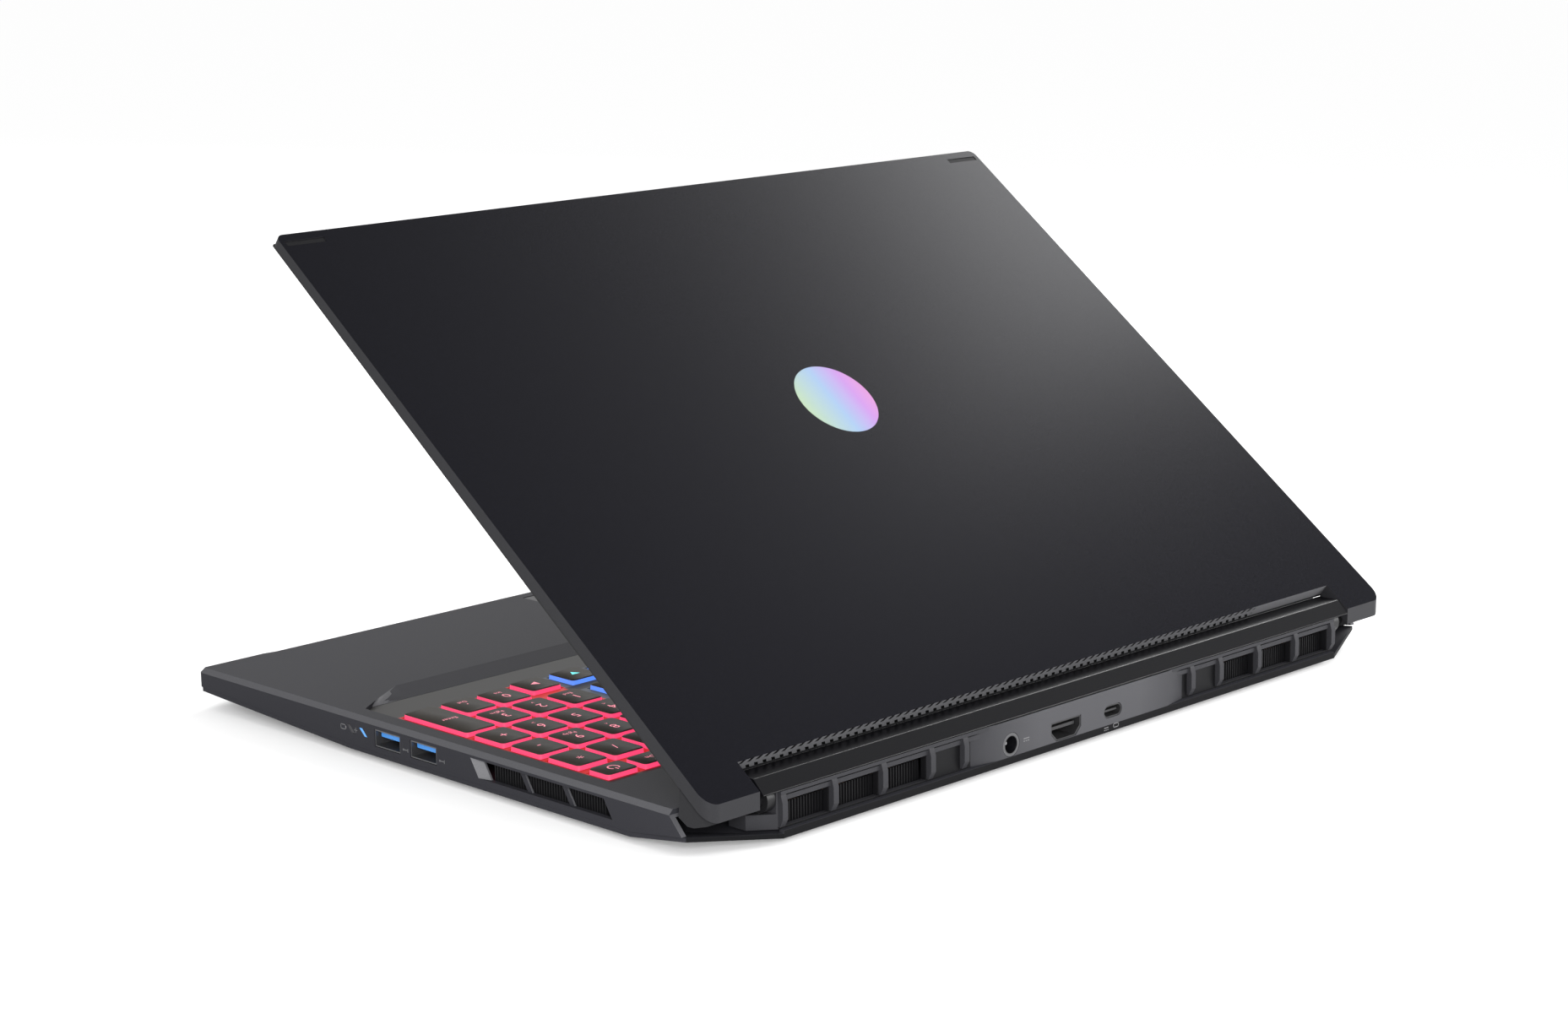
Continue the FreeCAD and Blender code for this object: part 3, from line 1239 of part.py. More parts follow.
def antenna_strips(thick):
    """Inlaid strips at the top corners of the lid."""
    strips = []
    y = "(lid_top + antenna_inset)"
    for side in (1, -1):
        x_low, x_high = span(side, "half_width - antenna_width", "half_width - lid_corner + 1")
        strips.append(box(x_low, x_high, y, y + " + antenna_depth", outer_at(y) + " - antenna_thick",
                          outer_at(y) + " - antenna_thick + (%s)" % thick))
    return strips


def emblem_disc(thick):
    """Plain round inlay in the middle of the lid."""
    y = "(lid_overhang - emblem_rise)"
    disc = rod("emblem_radius", thick, "0", y, outer_at(y) + " - emblem_thick")
    disc.Placement.Rotation = FreeCAD.Rotation(FreeCAD.Vector(1, 0, 0), math.degrees(math.atan2(
        num("lid_outer - lid_top_outer"), num("lid_height"))))
    return disc


def make_lid_trim():
    strips = hang_on_lid(group(antenna_strips("antenna_thick - 0.15"), "antenna_covers"))
    emblem = hang_on_lid(group([emblem_disc("emblem_thick")], "lid_emblem"))
    pads = []
    low = "lid_inner - bumper_height"
    for x in ("half_width - bumper_inset - bumper_radius", "-(half_width - bumper_inset - bumper_radius)"):
        for y in ("lid_top + bumper_inset + bumper_radius - 1", "notch_edge - bumper_inset - bumper_radius"):
            pads.append(rod("bumper_radius", "bumper_height", x, y, low))
    return [strips, emblem, hang_on_lid(group(pads, "lid_bumpers"))]


def make_display():
    edge = "half_width - bezel_inset"
    plate = box("-(%s)" % edge, edge, "lid_top + bezel_inset", "notch_edge", "lid_inner", "lid_inner + bezel_thick")
    window = box("-screen_half", "screen_half", "screen_top", "screen_low", "lid_inner - 1",
                 "lid_inner + bezel_thick + 1")
    lens_y = "(lid_top + bezel_top / 2 + 0.6)"
    eye = rod("webcam_lens + 0.2", "bezel_thick + 2", "0", lens_y, "lid_inner - 1")
    bezel = cut(plate, group([window, eye], "bezel_cutters"), "display_bezel")
    back = "lid_inner + bezel_thick"
    panel = box("-screen_half - panel_lap", "screen_half + panel_lap", "screen_top - 0.8",
                "screen_low + panel_lap", back, back + " + panel_thick")
    board = box("-webcam_width / 2", "webcam_width / 2", "%s - webcam_depth / 2" % lens_y,
                "%s + webcam_depth / 2 - 0.8" % lens_y, back, back + " + 1.4")
    lens = rod("webcam_lens", "bezel_thick", "0", lens_y, "lid_inner + 0.1")
    webcam = fuse([board, lens], "webcam")
    return [hang_on_lid(bezel), hang_on_lid(group([panel], "display_panel")), hang_on_lid(webcam)]


pieces = [make_top_deck(), make_bottom_cover(), make_rear_grille(), make_hinge_hump(), make_touchpad(),
          make_status_lights(), make_fin_stacks(), make_heat_pipes(), make_hinge_brackets(), make_hinge_arms(),
          make_ear_covers(), make_lid_cover()]
pieces += make_keyboard()
pieces += make_rear_sockets()
pieces += make_side_sockets()
pieces += make_fan_housings()
pieces += make_fan_rotors()
pieces += make_boards()
pieces += make_power_and_sound()
pieces += make_feet_and_screws()
pieces += make_lid_trim()
pieces += make_display()
doc.recompute()

for thing in doc.Objects:
    if "Invalid" in thing.State or "Error" in thing.State:
        raise RuntimeError("%s failed: %s" % (thing.Label, thing.State))
for piece in pieces:
    if piece.Shape.isNull() or not piece.Shape.isValid():
        raise RuntimeError("%s has no valid shape" % piece.Label)

os.makedirs("parts", exist_ok=True)
for piece in pieces:
    piece.Shape.exportStep(os.path.join("parts", piece.Label + ".step"))
print("%d parts written" % len(pieces))
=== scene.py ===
import math

import bmesh
import bpy
from mathutils import Euler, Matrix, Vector


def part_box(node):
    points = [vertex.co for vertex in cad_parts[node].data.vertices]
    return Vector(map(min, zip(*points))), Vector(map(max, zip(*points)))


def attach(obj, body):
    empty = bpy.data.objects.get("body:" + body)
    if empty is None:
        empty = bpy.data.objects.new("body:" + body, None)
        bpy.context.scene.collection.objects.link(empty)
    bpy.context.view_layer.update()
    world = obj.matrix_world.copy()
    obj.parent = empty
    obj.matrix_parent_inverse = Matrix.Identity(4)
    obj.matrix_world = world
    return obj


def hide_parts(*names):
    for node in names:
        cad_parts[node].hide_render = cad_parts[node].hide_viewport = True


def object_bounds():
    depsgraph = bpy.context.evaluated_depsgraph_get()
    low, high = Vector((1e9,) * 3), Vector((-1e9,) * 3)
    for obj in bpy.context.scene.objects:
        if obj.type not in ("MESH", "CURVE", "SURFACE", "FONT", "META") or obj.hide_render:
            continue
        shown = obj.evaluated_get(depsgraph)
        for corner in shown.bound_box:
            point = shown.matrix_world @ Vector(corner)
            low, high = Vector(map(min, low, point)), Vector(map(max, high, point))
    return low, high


bl_info = {
    "name": "Laptop dressing",
    "version": (1, 0, 0),
    "blender": (4, 5, 0),
    "location": "View3D > Sidebar > Laptop",
    "description": "Finishes, key caps, fins, marks and stage of a laptop computer",
    "category": "Object",
}

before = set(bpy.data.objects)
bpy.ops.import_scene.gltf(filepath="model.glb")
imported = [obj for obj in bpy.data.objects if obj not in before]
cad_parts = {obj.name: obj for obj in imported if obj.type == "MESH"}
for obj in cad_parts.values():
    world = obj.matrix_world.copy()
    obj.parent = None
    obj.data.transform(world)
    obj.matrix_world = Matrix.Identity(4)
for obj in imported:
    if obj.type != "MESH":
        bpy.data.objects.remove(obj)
CAD_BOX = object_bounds()
MM = 0.001

# Points closer than this are one point.
WELD = 0.001 * MM

# Zones along the rear bar, measured from its ends, and the depth of its recesses.
SOCKET_ZONE = 96.0 * MM
END_FACET = 8.0 * MM
RIB_DEPTH = 1.5 * MM

# The lid's rounded rear corners, and how far inside them the ear blocks stay.
LID_CORNER = 5.0 * MM
EAR_INSET = 1.0 * MM

# Light zones of the keyboard along X.
ZONE_REACH = 180.0 * MM
MAIN_ZONE = -81.8 * MM
ZONE_GAP = 1.0 * MM
GLOW_FADE = 1.6 * MM

# Camera of the photo: metres, degrees and millimetres.
CAMERA_PLACE = (0.80583, 0.80462, 0.31177)
CAMERA_TURN = (77.8107, 0.87007, 135.11985)
CAMERA_LENS = 71.9
SENSOR_WIDTH = 36.0

# Studio lamps: place, aim, then width and height, in metres.
LAMPS = {
    "lid": ((-1.10, -0.37, 0.80), (-0.15, -0.05, 0.15), (0.7, 0.48)),
    "side": ((0.70, 0.75, 0.30), (0.17, 0.10, 0.0), (0.4, 0.3)),
    "rear": ((-0.55, 0.65, 0.25), (-0.15, 0.13, 0.02), (0.4, 0.3)),
    "front": ((-0.55, -1.0, 0.35), (0.08, 0.0, 0.0), (0.6, 0.3)),
}

# The floor, and its share of glow in the rays that show the background.
FLOOR_REACH = 6.0
FLOOR_TONE = (0.98, 0.98, 0.98)
FLOOR_GLOW = 0.15

# Tones of pieces that have no setting of their own.
NEAR_BLACK = (0.0056, 0.0056, 0.0063)
HINGE_BLACK = (0.0070, 0.0070, 0.0077)
ANTENNA_BLACK = (0.0035, 0.0035, 0.0042)
INNER_BLACK = (0.0105, 0.0105, 0.0112)
EAR_GREY = (0.0154, 0.0154, 0.0168)
TOUCHPAD_GREY = (0.0182, 0.0182, 0.0210)
RUBBER_GREY = (0.0140, 0.0140, 0.0140)
# Light grey on the vent ramps: a painted glint.
RAMP_GLINT_GREY = (0.1330, 0.1330, 0.1400)
INK_GREY = (0.1190, 0.1190, 0.1225)
SCREEN_BLACK = (0.0042, 0.0042, 0.0056)
LENS_BLACK = (0.0070, 0.0070, 0.0105)
LIGHT_BLACK = (0.0100, 0.0100, 0.0120)
LIGHT_BLUE = (0.10, 0.42, 1.0)
TONGUE_BLUE = (0.042, 0.21, 0.56)
SOCKET_STEEL = (0.1120, 0.1120, 0.1155)
DARK_STEEL = (0.0350, 0.0350, 0.0364)
SCREW_STEEL = (0.0840, 0.0840, 0.0875)
PLATE_STEEL = (0.1400, 0.1400, 0.1470)
PIPE_COPPER = (0.315, 0.140, 0.077)
BOARD_GREEN = (0.0070, 0.0350, 0.0210)
# Light grey of the slit strip painted on the lid's edge: painted light.
LIT_STRIP_GREY = (0.095, 0.095, 0.100)
SLIT_BLACK = (0.0015, 0.0015, 0.0015)
INLET_TONES = ((0.22, 0.22, 0.23), (0.003, 0.003, 0.004), (0.04, 0.04, 0.043))
PEARL_TONES = (
    (0.0, (0.20, 0.28, 0.17)),
    (0.45, (0.13, 0.21, 0.33)),
    (0.8, (0.23, 0.09, 0.31)),
    (1.0, (0.29, 0.09, 0.26)),
)

# Lettering and signs of the keys, left to right in each group.
LEGENDS = {
    "function_row_keys": (["Esc"] + ["F%d" % number for number in range(1, 13)]
                          + ["Ins", "Del", "Prt", "Home", "Up", "Dn"]),
    "power_key": ["power"],
    "number_row_keys": list("`1234567890-=") + ["Back"],
    "upper_row_keys": ["Tab"] + list("QWERTYUIOP[]") + ["\\"],
    "home_row_keys": ["Caps"] + list("ASDFGHJKL;'") + ["Enter"],
    "lower_row_keys": ["Shift"] + list("ZXCVBNM,./") + ["Shift"],
    "front_row_keys": ["Ctrl", "Fn", "+", "Alt", "Alt", "Ctrl"],
    "space_bar": [""],
    "arrow_up_key": ["up"],
    "arrow_down_key": ["down"],
    "arrow_left_key": ["left"],
    "arrow_right_key": ["right"],
    "pad_top_keys": ["Num", "=", "/", "*"],
    "pad_seven_to_nine_keys": ["7\nHome", "8\n^", "9\nPgUp"],
    "pad_four_to_six_keys": ["4\n<", "5", "6\n>"],
    "pad_one_to_three_keys": ["1\nEnd", "2\nv", "3\nPgDn"],
    "pad_zero_keys": ["0\nIns", ".\nDel"],
    "pad_minus_key": ["-"],
    "pad_plus_key": ["+"],
    "pad_enter_key": ["Enter"],
}
ARROW_TURNS = {"right": 0, "up": 90, "left": 180, "down": 270}

# Steps in which a key grows, with the share of the taper that each draws in.
KEY_STEPS = (("Skirt Height", 0.55), ("Cap Height", 0.45), ("Rounding", 0.30))

# Key groups that stand close together, by the start of their names.
KEY_GROUPS = (
    ("arrow_up",),
    ("arrow_left", "arrow_down", "arrow_right"),
    ("pad", "power"),
    ("front", "space"),
    ("function", "number", "upper", "home", "lower"),
)


# Settings a user would change.
class LaptopColours(bpy.types.PropertyGroup):
    """Colours of the laptop's finishes, and of the light and shade painted on some of them."""

    lid: bpy.props.FloatVectorProperty(
        name="Lid paint", description="Colour of the lid's matte paint", subtype="COLOR", size=3,
        default=(0.0028, 0.0028, 0.0042), min=0, max=1)
    shell: bpy.props.FloatVectorProperty(
        name="Base shell", description="Colour of the deck, sides and bottom", subtype="COLOR", size=3,
        default=(0.0238, 0.0238, 0.0280), min=0, max=1)
    # Lighter tone on the lid's narrow sides: painted light, for the light they catch.
    rim: bpy.props.FloatVectorProperty(
        name="Lid rim", description="Colour of the lid's narrow sides", subtype="COLOR", size=3,
        default=(0.0182, 0.0182, 0.0203), min=0, max=1)
    hump: bpy.props.FloatVectorProperty(
        name="Hinge cover", description="Colour of the cover between the ears", subtype="COLOR", size=3,
        default=(0.0028, 0.0028, 0.0035), min=0, max=1)
    # Lighter tone on the deck's slopes and bevels: painted light.
    slope: bpy.props.FloatVectorProperty(
        name="Slopes", description="Colour of the deck's bevelled edges", subtype="COLOR", size=3,
        default=(0.0700, 0.0700, 0.0756), min=0, max=1)
    # Lighter tone painted on the bar's middle: painted light.
    port_light: bpy.props.FloatVectorProperty(
        name="Socket zone", description="Colour of the bar's middle", subtype="COLOR", size=3,
        default=(0.0490, 0.0490, 0.0532), min=0, max=1)
    bar: bpy.props.FloatVectorProperty(
        name="Rear bar", description="Colour of the ribbed grille", subtype="COLOR", size=3,
        default=(0.0238, 0.0238, 0.0266), min=0, max=1)
    cap: bpy.props.FloatVectorProperty(
        name="Key caps", description="Colour of the key tops", subtype="COLOR", size=3,
        default=(0.0280, 0.0238, 0.0196), min=0, max=1)
    pad_glow: bpy.props.FloatVectorProperty(
        name="Number pad light", description="Backlight of the number pad", subtype="COLOR", size=3,
        default=(1.0, 0.055, 0.17), min=0, max=1)
    arrow_glow: bpy.props.FloatVectorProperty(
        name="Arrow light", description="Backlight beside the number pad", subtype="COLOR", size=3,
        default=(0.09, 0.27, 1.0), min=0, max=1)
    main_glow: bpy.props.FloatVectorProperty(
        name="Main light", description="Backlight of the middle keys", subtype="COLOR", size=3,
        default=(0.25, 0.12, 1.0), min=0, max=1)
    side_glow: bpy.props.FloatVectorProperty(
        name="Left light", description="Backlight of the keys on the left", subtype="COLOR", size=3,
        default=(0.05, 0.7, 0.6), min=0, max=1)


class LaptopSizes(bpy.types.PropertyGroup):
    """Sizes of the laptop's dressed pieces."""

    skirt_height: bpy.props.FloatProperty(
        name="Skirt height", description="Height of a key's clear skirt", unit="LENGTH",
        default=2.95 * MM)
    cap_height: bpy.props.FloatProperty(
        name="Cap height", description="Height of a key's dark cap above the skirt", unit="LENGTH",
        default=0.2 * MM)
    cap_round: bpy.props.FloatProperty(
        name="Cap rounding", description="Rounding of a key's top edge", unit="LENGTH",
        default=0.15 * MM)
    key_corner: bpy.props.FloatProperty(
        name="Key corner", description="Radius of a key's corners", unit="LENGTH",
        default=1.5 * MM)
    key_taper: bpy.props.FloatProperty(
        name="Key taper", description="How much a key narrows toward its top", unit="LENGTH",
        default=0.45 * MM)
    fin_pitch: bpy.props.FloatProperty(
        name="Fin pitch", description="Distance between cooling fins", unit="LENGTH",
        default=1.3 * MM)
    fin_thick: bpy.props.FloatProperty(
        name="Fin thickness", description="Thickness of a cooling fin", unit="LENGTH",
        default=0.35 * MM)
    slit_pitch: bpy.props.FloatProperty(
        name="Slit pitch", description="Distance between the slits on the lid's edge", unit="LENGTH",
        default=3.8 * MM)
    slit_end: bpy.props.FloatProperty(
        name="Slit end", description="Place along X where the slits stop", unit="LENGTH",
        default=-112.0 * MM)


class LaptopStage(bpy.types.PropertyGroup):
    """Light of the studio."""

    world_level: bpy.props.FloatProperty(
        name="World level", description="Strength of the even light", default=1.0, min=0)
    lid_level: bpy.props.FloatProperty(
        name="Lid light", description="Power of the lamp that shows on the lid", unit="POWER",
        default=15.0, min=0)
    side_level: bpy.props.FloatProperty(
        name="Side light", description="Power of the lamp on the right side", unit="POWER",
        default=10.0, min=0)
    rear_level: bpy.props.FloatProperty(
        name="Rear light", description="Power of the lamp behind the bar", unit="POWER",
        default=7.0, min=0)
    front_level: bpy.props.FloatProperty(
        name="Front light", description="Power of the lamp that lights the deck", unit="POWER",
        default=0.5, min=0)


def colours():
    return bpy.context.scene.laptop_colours


def sizes():
    return bpy.context.scene.laptop_sizes


# Node helpers.
def link(tree, start, end):
    tree.links.new(start, end)


def combined(tree, operation, first, second):
    """Two factors, or a factor and a number, made into one."""
    node = tree.nodes.new("ShaderNodeMath")
    node.operation = operation
    for value, socket in zip((first, second), node.inputs):
        if isinstance(value, (int, float)):
            socket.default_value = value
        else:
            link(tree, value, socket)
    return node.outputs[0]


def merged(tree, operation, factors):
    """Several factors made into one."""
    total, *others = factors
    for factor in others:
        total = combined(tree, operation, total, factor)
    return total


def vector_step(tree, operation, vector, operand=None):
    """Vector Math node with one linked vector."""
    node = tree.nodes.new("ShaderNodeVectorMath")
    node.operation = operation
    link(tree, vector, node.inputs[0])
    if operand is not None:
        node.inputs[1].default_value = operand
    return node


def share_between(tree, value, start, end, smooth=False):
    """Rise from 0 at one value to 1 at another."""
    rise = tree.nodes.new("ShaderNodeMapRange")
    rise.interpolation_type = "SMOOTHSTEP" if smooth else "LINEAR"
    rise.inputs["From Min"].default_value = start
    rise.inputs["From Max"].default_value = end
    link(tree, value, rise.inputs["Value"])
    return rise.outputs["Result"]


def object_place(tree):
    """The piece's own coordinates."""
    return tree.nodes.new("ShaderNodeTexCoord").outputs["Object"]


def object_axis(tree, axis):
    """One of the piece's own coordinates."""
    split = tree.nodes.new("ShaderNodeSeparateXYZ")
    link(tree, object_place(tree), split.inputs["Vector"])
    return split.outputs[axis]


def object_noise(tree, scale, detail=2.0):
    """Noise on the piece's own coordinates."""
    noise = tree.nodes.new("ShaderNodeTexNoise")
    noise.inputs["Scale"].default_value = scale
    noise.inputs["Detail"].default_value = detail
    link(tree, object_place(tree), noise.inputs["Vector"])
    return noise.outputs["Fac"]


def inside_plan(tree, low, high, fade):
    """1 over a rectangle of the piece's X and Y, falling to 0 around it."""
    parts = []
    for axis, start, end in zip("XY", low, high):
        place = object_axis(tree, axis)
        parts.append(share_between(tree, place, start - fade, start, smooth=True))
        parts.append(share_between(tree, place, end + fade, end, smooth=True))
    return merged(tree, "MULTIPLY", parts)


def colour_ramp(tree, factor, stops, steps=False):
    """Colours placed along a factor."""
    ramp = tree.nodes.new("ShaderNodeValToRGB")
    ramp.color_ramp.interpolation = "CONSTANT" if steps else "LINEAR"
    while len(ramp.color_ramp.elements) < len(stops):
        ramp.color_ramp.elements.new(0.5)
    for element, (position, tone) in zip(ramp.color_ramp.elements, stops):
        element.position = position
        element.color = (*tone, 1)
    link(tree, factor, ramp.inputs["Fac"])
    return ramp.outputs["Color"]


# Finishes.
def new_material(name, roughness, specular=0.5):
    """Material with one shader; returns it, its tree and its shader."""
    material = bpy.data.materials.new(name)
    material.use_nodes = True
    tree = material.node_tree
    shader = tree.nodes["Principled BSDF"]
    shader.inputs["Roughness"].default_value = roughness
    shader.inputs["Specular IOR Level"].default_value = specular
    return material, tree, shader


def tint_by(tree, shader, factor, low, high):
    """Base colour between two tones, driven by a factor."""
    mix = tree.nodes.new("ShaderNodeMix")
    mix.data_type = "RGBA"
    mix.inputs["A"].default_value = (*low, 1)
    mix.inputs["B"].default_value = (*high, 1)
    link(tree, factor, mix.inputs["Factor"])
    link(tree, mix.outputs["Result"], shader.inputs["Base Color"])


def bump_by(tree, shader, height, strength, distance=0.05 * MM):
    """Relief that follows a factor."""
    bump = tree.nodes.new("ShaderNodeBump")
    bump.inputs["Strength"].default_value = strength
    bump.inputs["Distance"].default_value = distance
    link(tree, height, bump.inputs["Height"])
    link(tree, bump.outputs["Normal"], shader.inputs["Normal"])


def scaled(tone, share):
    return [value * share for value in tone]


def grained(name, tone, roughness, specular=0.3, metallic=0.0, grain=2500, relief=0.15):
    """Painted or moulded surface with a fine grain."""
    material, tree, shader = new_material(name, roughness, specular)
    shader.inputs["Metallic"].default_value = metallic
    spread = 0.15
    noise = object_noise(tree, grain)
    tint_by(tree, shader, noise, scaled(tone, 1 - spread), scaled(tone, 1 + spread))
    bump_by(tree, shader, noise, relief)
    return material


def sparkling(name, tone, roughness, specular):
    """Matte paint with sparse bright flecks and a cool gloss."""
    material, tree, shader = new_material(name, roughness, specular)
    cool = (0.90, 0.91, 1.0)
    fleck_start, fleck_full, fleck_gain = 0.55, 0.80, 3
    shader.inputs["Specular Tint"].default_value = (*cool, 1)
    noise = object_noise(tree, scale=4200, detail=1.0)
    flecks = ((fleck_start, tone), (fleck_full, scaled(tone, fleck_gain)))
    link(tree, colour_ramp(tree, noise, flecks), shader.inputs["Base Color"])
    bump_by(tree, shader, noise, strength=0.06, distance=0.04 * MM)
    return material


def shaded_across(name, reach, edge_tone, middle_tone):
    """Plastic that goes from one tone at both ends of its reach along X to another in the middle, a painted
    light and shade across it.
    """
    material, tree, shader = new_material(name, roughness=0.5, specular=0.08)
    middle_start, middle_end = 0.25, 0.7
    stops = ((0.0, edge_tone), (middle_start, middle_tone), (middle_end, middle_tone), (1.0, edge_tone))
    along = share_between(tree, object_axis(tree, "X"), -reach, reach)
    link(tree, colour_ramp(tree, along, stops), shader.inputs["Base Color"])
    bump_by(tree, shader, object_noise(tree, scale=2200), strength=0.25)
    return material


def lit_slit_band(name, across, low, high):
    """Light grey strip, standing for a lit slit strip as painted light, with two rows of leaning dark slits
    that run along X.
    """
    material, tree, shader = new_material(name, roughness=0.5, specular=0.05)
    setup = sizes()
    lean, slit_share, lower_row, upper_row = 0.9, 0.42, 0.34, 0.66
    height = vector_step(tree, "DOT_PRODUCT", object_place(tree), across).outputs["Value"]
    width = share_between(tree, height, low, high)
    along = object_axis(tree, "X")
    count = combined(tree, "DIVIDE", along, setup.slit_pitch)
    rows = []
    for turn, side, edge in ((lean, "GREATER_THAN", upper_row), (-lean, "LESS_THAN", lower_row)):
        leaning = combined(tree, "ADD", combined(tree, "MULTIPLY", width, turn), count)
        slit = combined(tree, "LESS_THAN", combined(tree, "FRACT", leaning, 0), slit_share)
        rows.append(combined(tree, "MULTIPLY", slit, combined(tree, side, width, edge)))
    reached = combined(tree, "GREATER_THAN", along, setup.slit_end)
    dark = combined(tree, "MULTIPLY", merged(tree, "MAXIMUM", rows), reached)
    tint_by(tree, shader, dark, LIT_STRIP_GREY, SLIT_BLACK)
    return material


def zone_glow(name, base, strength, shade=(1, 1, 1), around=()):
    """Plastic lit from below, in the colour of the keyboard's light zones along X.

    With rectangles to glow around, the light keeps to them.
    """
    material, tree, shader = new_material(name, roughness=0.5, specular=0.15)
    shader.inputs["Base Color"].default_value = (*base, 1)
    tones = colours()
    zones = (
        (-ZONE_REACH, tones.side_glow),
        (MAIN_ZONE, tones.main_glow),
        (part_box("arrow_left_key")[0][0] - ZONE_GAP, tones.arrow_glow),
        (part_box("arrow_right_key")[0][0] - ZONE_GAP, tones.pad_glow),
    )
    stops = []
    for place, glow in zones:
        tone = [min(1, value * share) for value, share in zip(glow, shade)]
        stops.append(((place + ZONE_REACH) / (2 * ZONE_REACH), tone))
    along = share_between(tree, object_axis(tree, "X"), -ZONE_REACH, ZONE_REACH)
    link(tree, colour_ramp(tree, along, stops, steps=True), shader.inputs["Emission Color"])
    shader.inputs["Emission Strength"].default_value = strength
    if around:
        blocks = [inside_plan(tree, low, high, GLOW_FADE) for low, high in around]
        lit = combined(tree, "MULTIPLY", merged(tree, "MAXIMUM", blocks), strength)
        link(tree, lit, shader.inputs["Emission Strength"])
    return material


def rings(name, centre, radii, tones):
    """Socket whose pin and rings differ in tone from each radius outward."""
    material, tree, shader = new_material(name, roughness=0.35)
    away = vector_step(tree, "SUBTRACT", object_place(tree), centre).outputs["Vector"]
    flat = vector_step(tree, "MULTIPLY", away, (1, 0, 1)).outputs["Vector"]
    reach = vector_step(tree, "LENGTH", flat).outputs["Value"]
    widest = 5.0 * MM
    stops = [(radius / widest, tone) for radius, tone in zip(radii, tones)]
    factor = share_between(tree, reach, 0.0, widest)
    link(tree, colour_ramp(tree, factor, stops, steps=True), shader.inputs["Base Color"])
    return material


def one_lit(name, node, dark, glow):
    """Pair of status lights along Y, of which the rear one is lit."""
    material, tree, shader = new_material(name, roughness=0.3)
    shader.inputs["Base Color"].default_value = (*dark, 1)
    shader.inputs["Emission Color"].default_value = (*glow, 1)
    low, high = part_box(node)
    middle, fade = (low[1] + high[1]) / 2, 0.1 * MM
    lit = share_between(tree, object_axis(tree, "Y"), middle - fade, middle + fade, smooth=True)
    link(tree, lit, shader.inputs["Emission Strength"])
    return material


def pearly(name, node):
    """Inlay whose tone runs from green over blue to violet across it."""
    material, tree, shader = new_material(name, roughness=0.35, specular=0.2)
    low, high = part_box(node)
    across = share_between(tree, object_axis(tree, "X"), high[0], low[0])
    link(tree, colour_ramp(tree, across, PEARL_TONES), shader.inputs["Base Color"])
    return material


def wear(material, *nodes):
    """Give CAD nodes a finish."""
    for node in nodes:
        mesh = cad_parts[node].data
        mesh.materials.clear()
        mesh.materials.append(material)


# Meshes.
def placed(name, data):
    """New object in the scene."""
    item = bpy.data.objects.new(name, data)
    bpy.context.scene.collection.objects.link(item)
    return item


def new_piece(name, mesh, body, replaced=()):
    """Shown piece at the origin, riding on a body."""
    piece = placed(name, mesh)
    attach(piece, body)
    if replaced:
        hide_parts(*replaced)
    return piece


def plain_mesh(holder):
    """Evaluated mesh of a helper object, which is then removed."""
    bpy.context.view_layer.update()
    graph = bpy.context.evaluated_depsgraph_get()
    mesh = bpy.data.meshes.new_from_object(holder.evaluated_get(graph), depsgraph=graph)
    bpy.data.objects.remove(holder)
    return mesh


def mesh_from(build, name):
    """Mesh of a finished build."""
    mesh = bpy.data.meshes.new(name)
    build.to_mesh(mesh)
    build.free()
    return mesh


def polygon_mesh(name, polygons):
    """Mesh of separate faces, each given by its corners."""
    faces, points = [], []
    for polygon in polygons:
        faces.append([len(points) + index for index in range(len(polygon))])
        points += polygon
    mesh = bpy.data.meshes.new(name)
    mesh.from_pydata(points, [], faces)
    return mesh


def shade_by_angle(mesh, angle):
    """Smooth shading that keeps edges over an angle sharp."""
    mesh.shade_smooth()
    mesh.set_sharp_from_angle(angle=math.radians(angle))


def softened(node, name, body, material, width):
    """Copy of a node's shape with its sharp edges rounded a little."""
    sharp_angle, flat_angle = 18, 0.5
    build = bmesh.new()
    build.from_mesh(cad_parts[node].data)
    bmesh.ops.remove_doubles(build, verts=build.verts, dist=WELD)
    bmesh.ops.dissolve_limit(
        build, angle_limit=math.radians(flat_angle), verts=build.verts, edges=build.edges)
    mesh = mesh_from(build, name)
    mesh.materials.clear()
    mesh.materials.append(material)
    shade_by_angle(mesh, sharp_angle)
    holder = placed(name + "_holder", mesh)
    bevel = holder.modifiers.new("edges", "BEVEL")
    bevel.width = width
    bevel.segments = 2
    bevel.limit_method = "ANGLE"
    bevel.angle_limit = math.radians(sharp_angle)
    bevel.use_clamp_overlap = True
    flats = holder.modifiers.new("flats", "WEIGHTED_NORMAL")
    flats.mode = "FACE_AREA"
    flats.weight = 100
    flats.keep_sharp = True
    return new_piece(name, plain_mesh(holder), body, (node,))


def repaint(piece, material, rule):
    """Give a second finish to the faces picked by a rule on their normal and centre; here it always carries
    painted light or shade.
    """
    mesh = piece.data
    mesh.materials.append(material)
    for face in mesh.polygons:
        if rule(face.normal, face.center):
            face.material_index = len(mesh.materials) - 1


def joined(meshes):
    """One mesh from several, keeping their materials."""
    build = bmesh.new()
    materials = []
    for mesh in meshes:
        slots = {}
        for index, material in enumerate(mesh.materials):
            if material not in materials:
                materials.append(material)
            slots[index] = materials.index(material)
        first = len(build.faces)
        build.from_mesh(mesh)
        build.faces.ensure_lookup_table()
        for face in build.faces[first:]:
            face.material_index = slots.get(face.material_index, 0)
    done = mesh_from(build, "joined")
    for material in materials:
        done.materials.append(material)
    return done


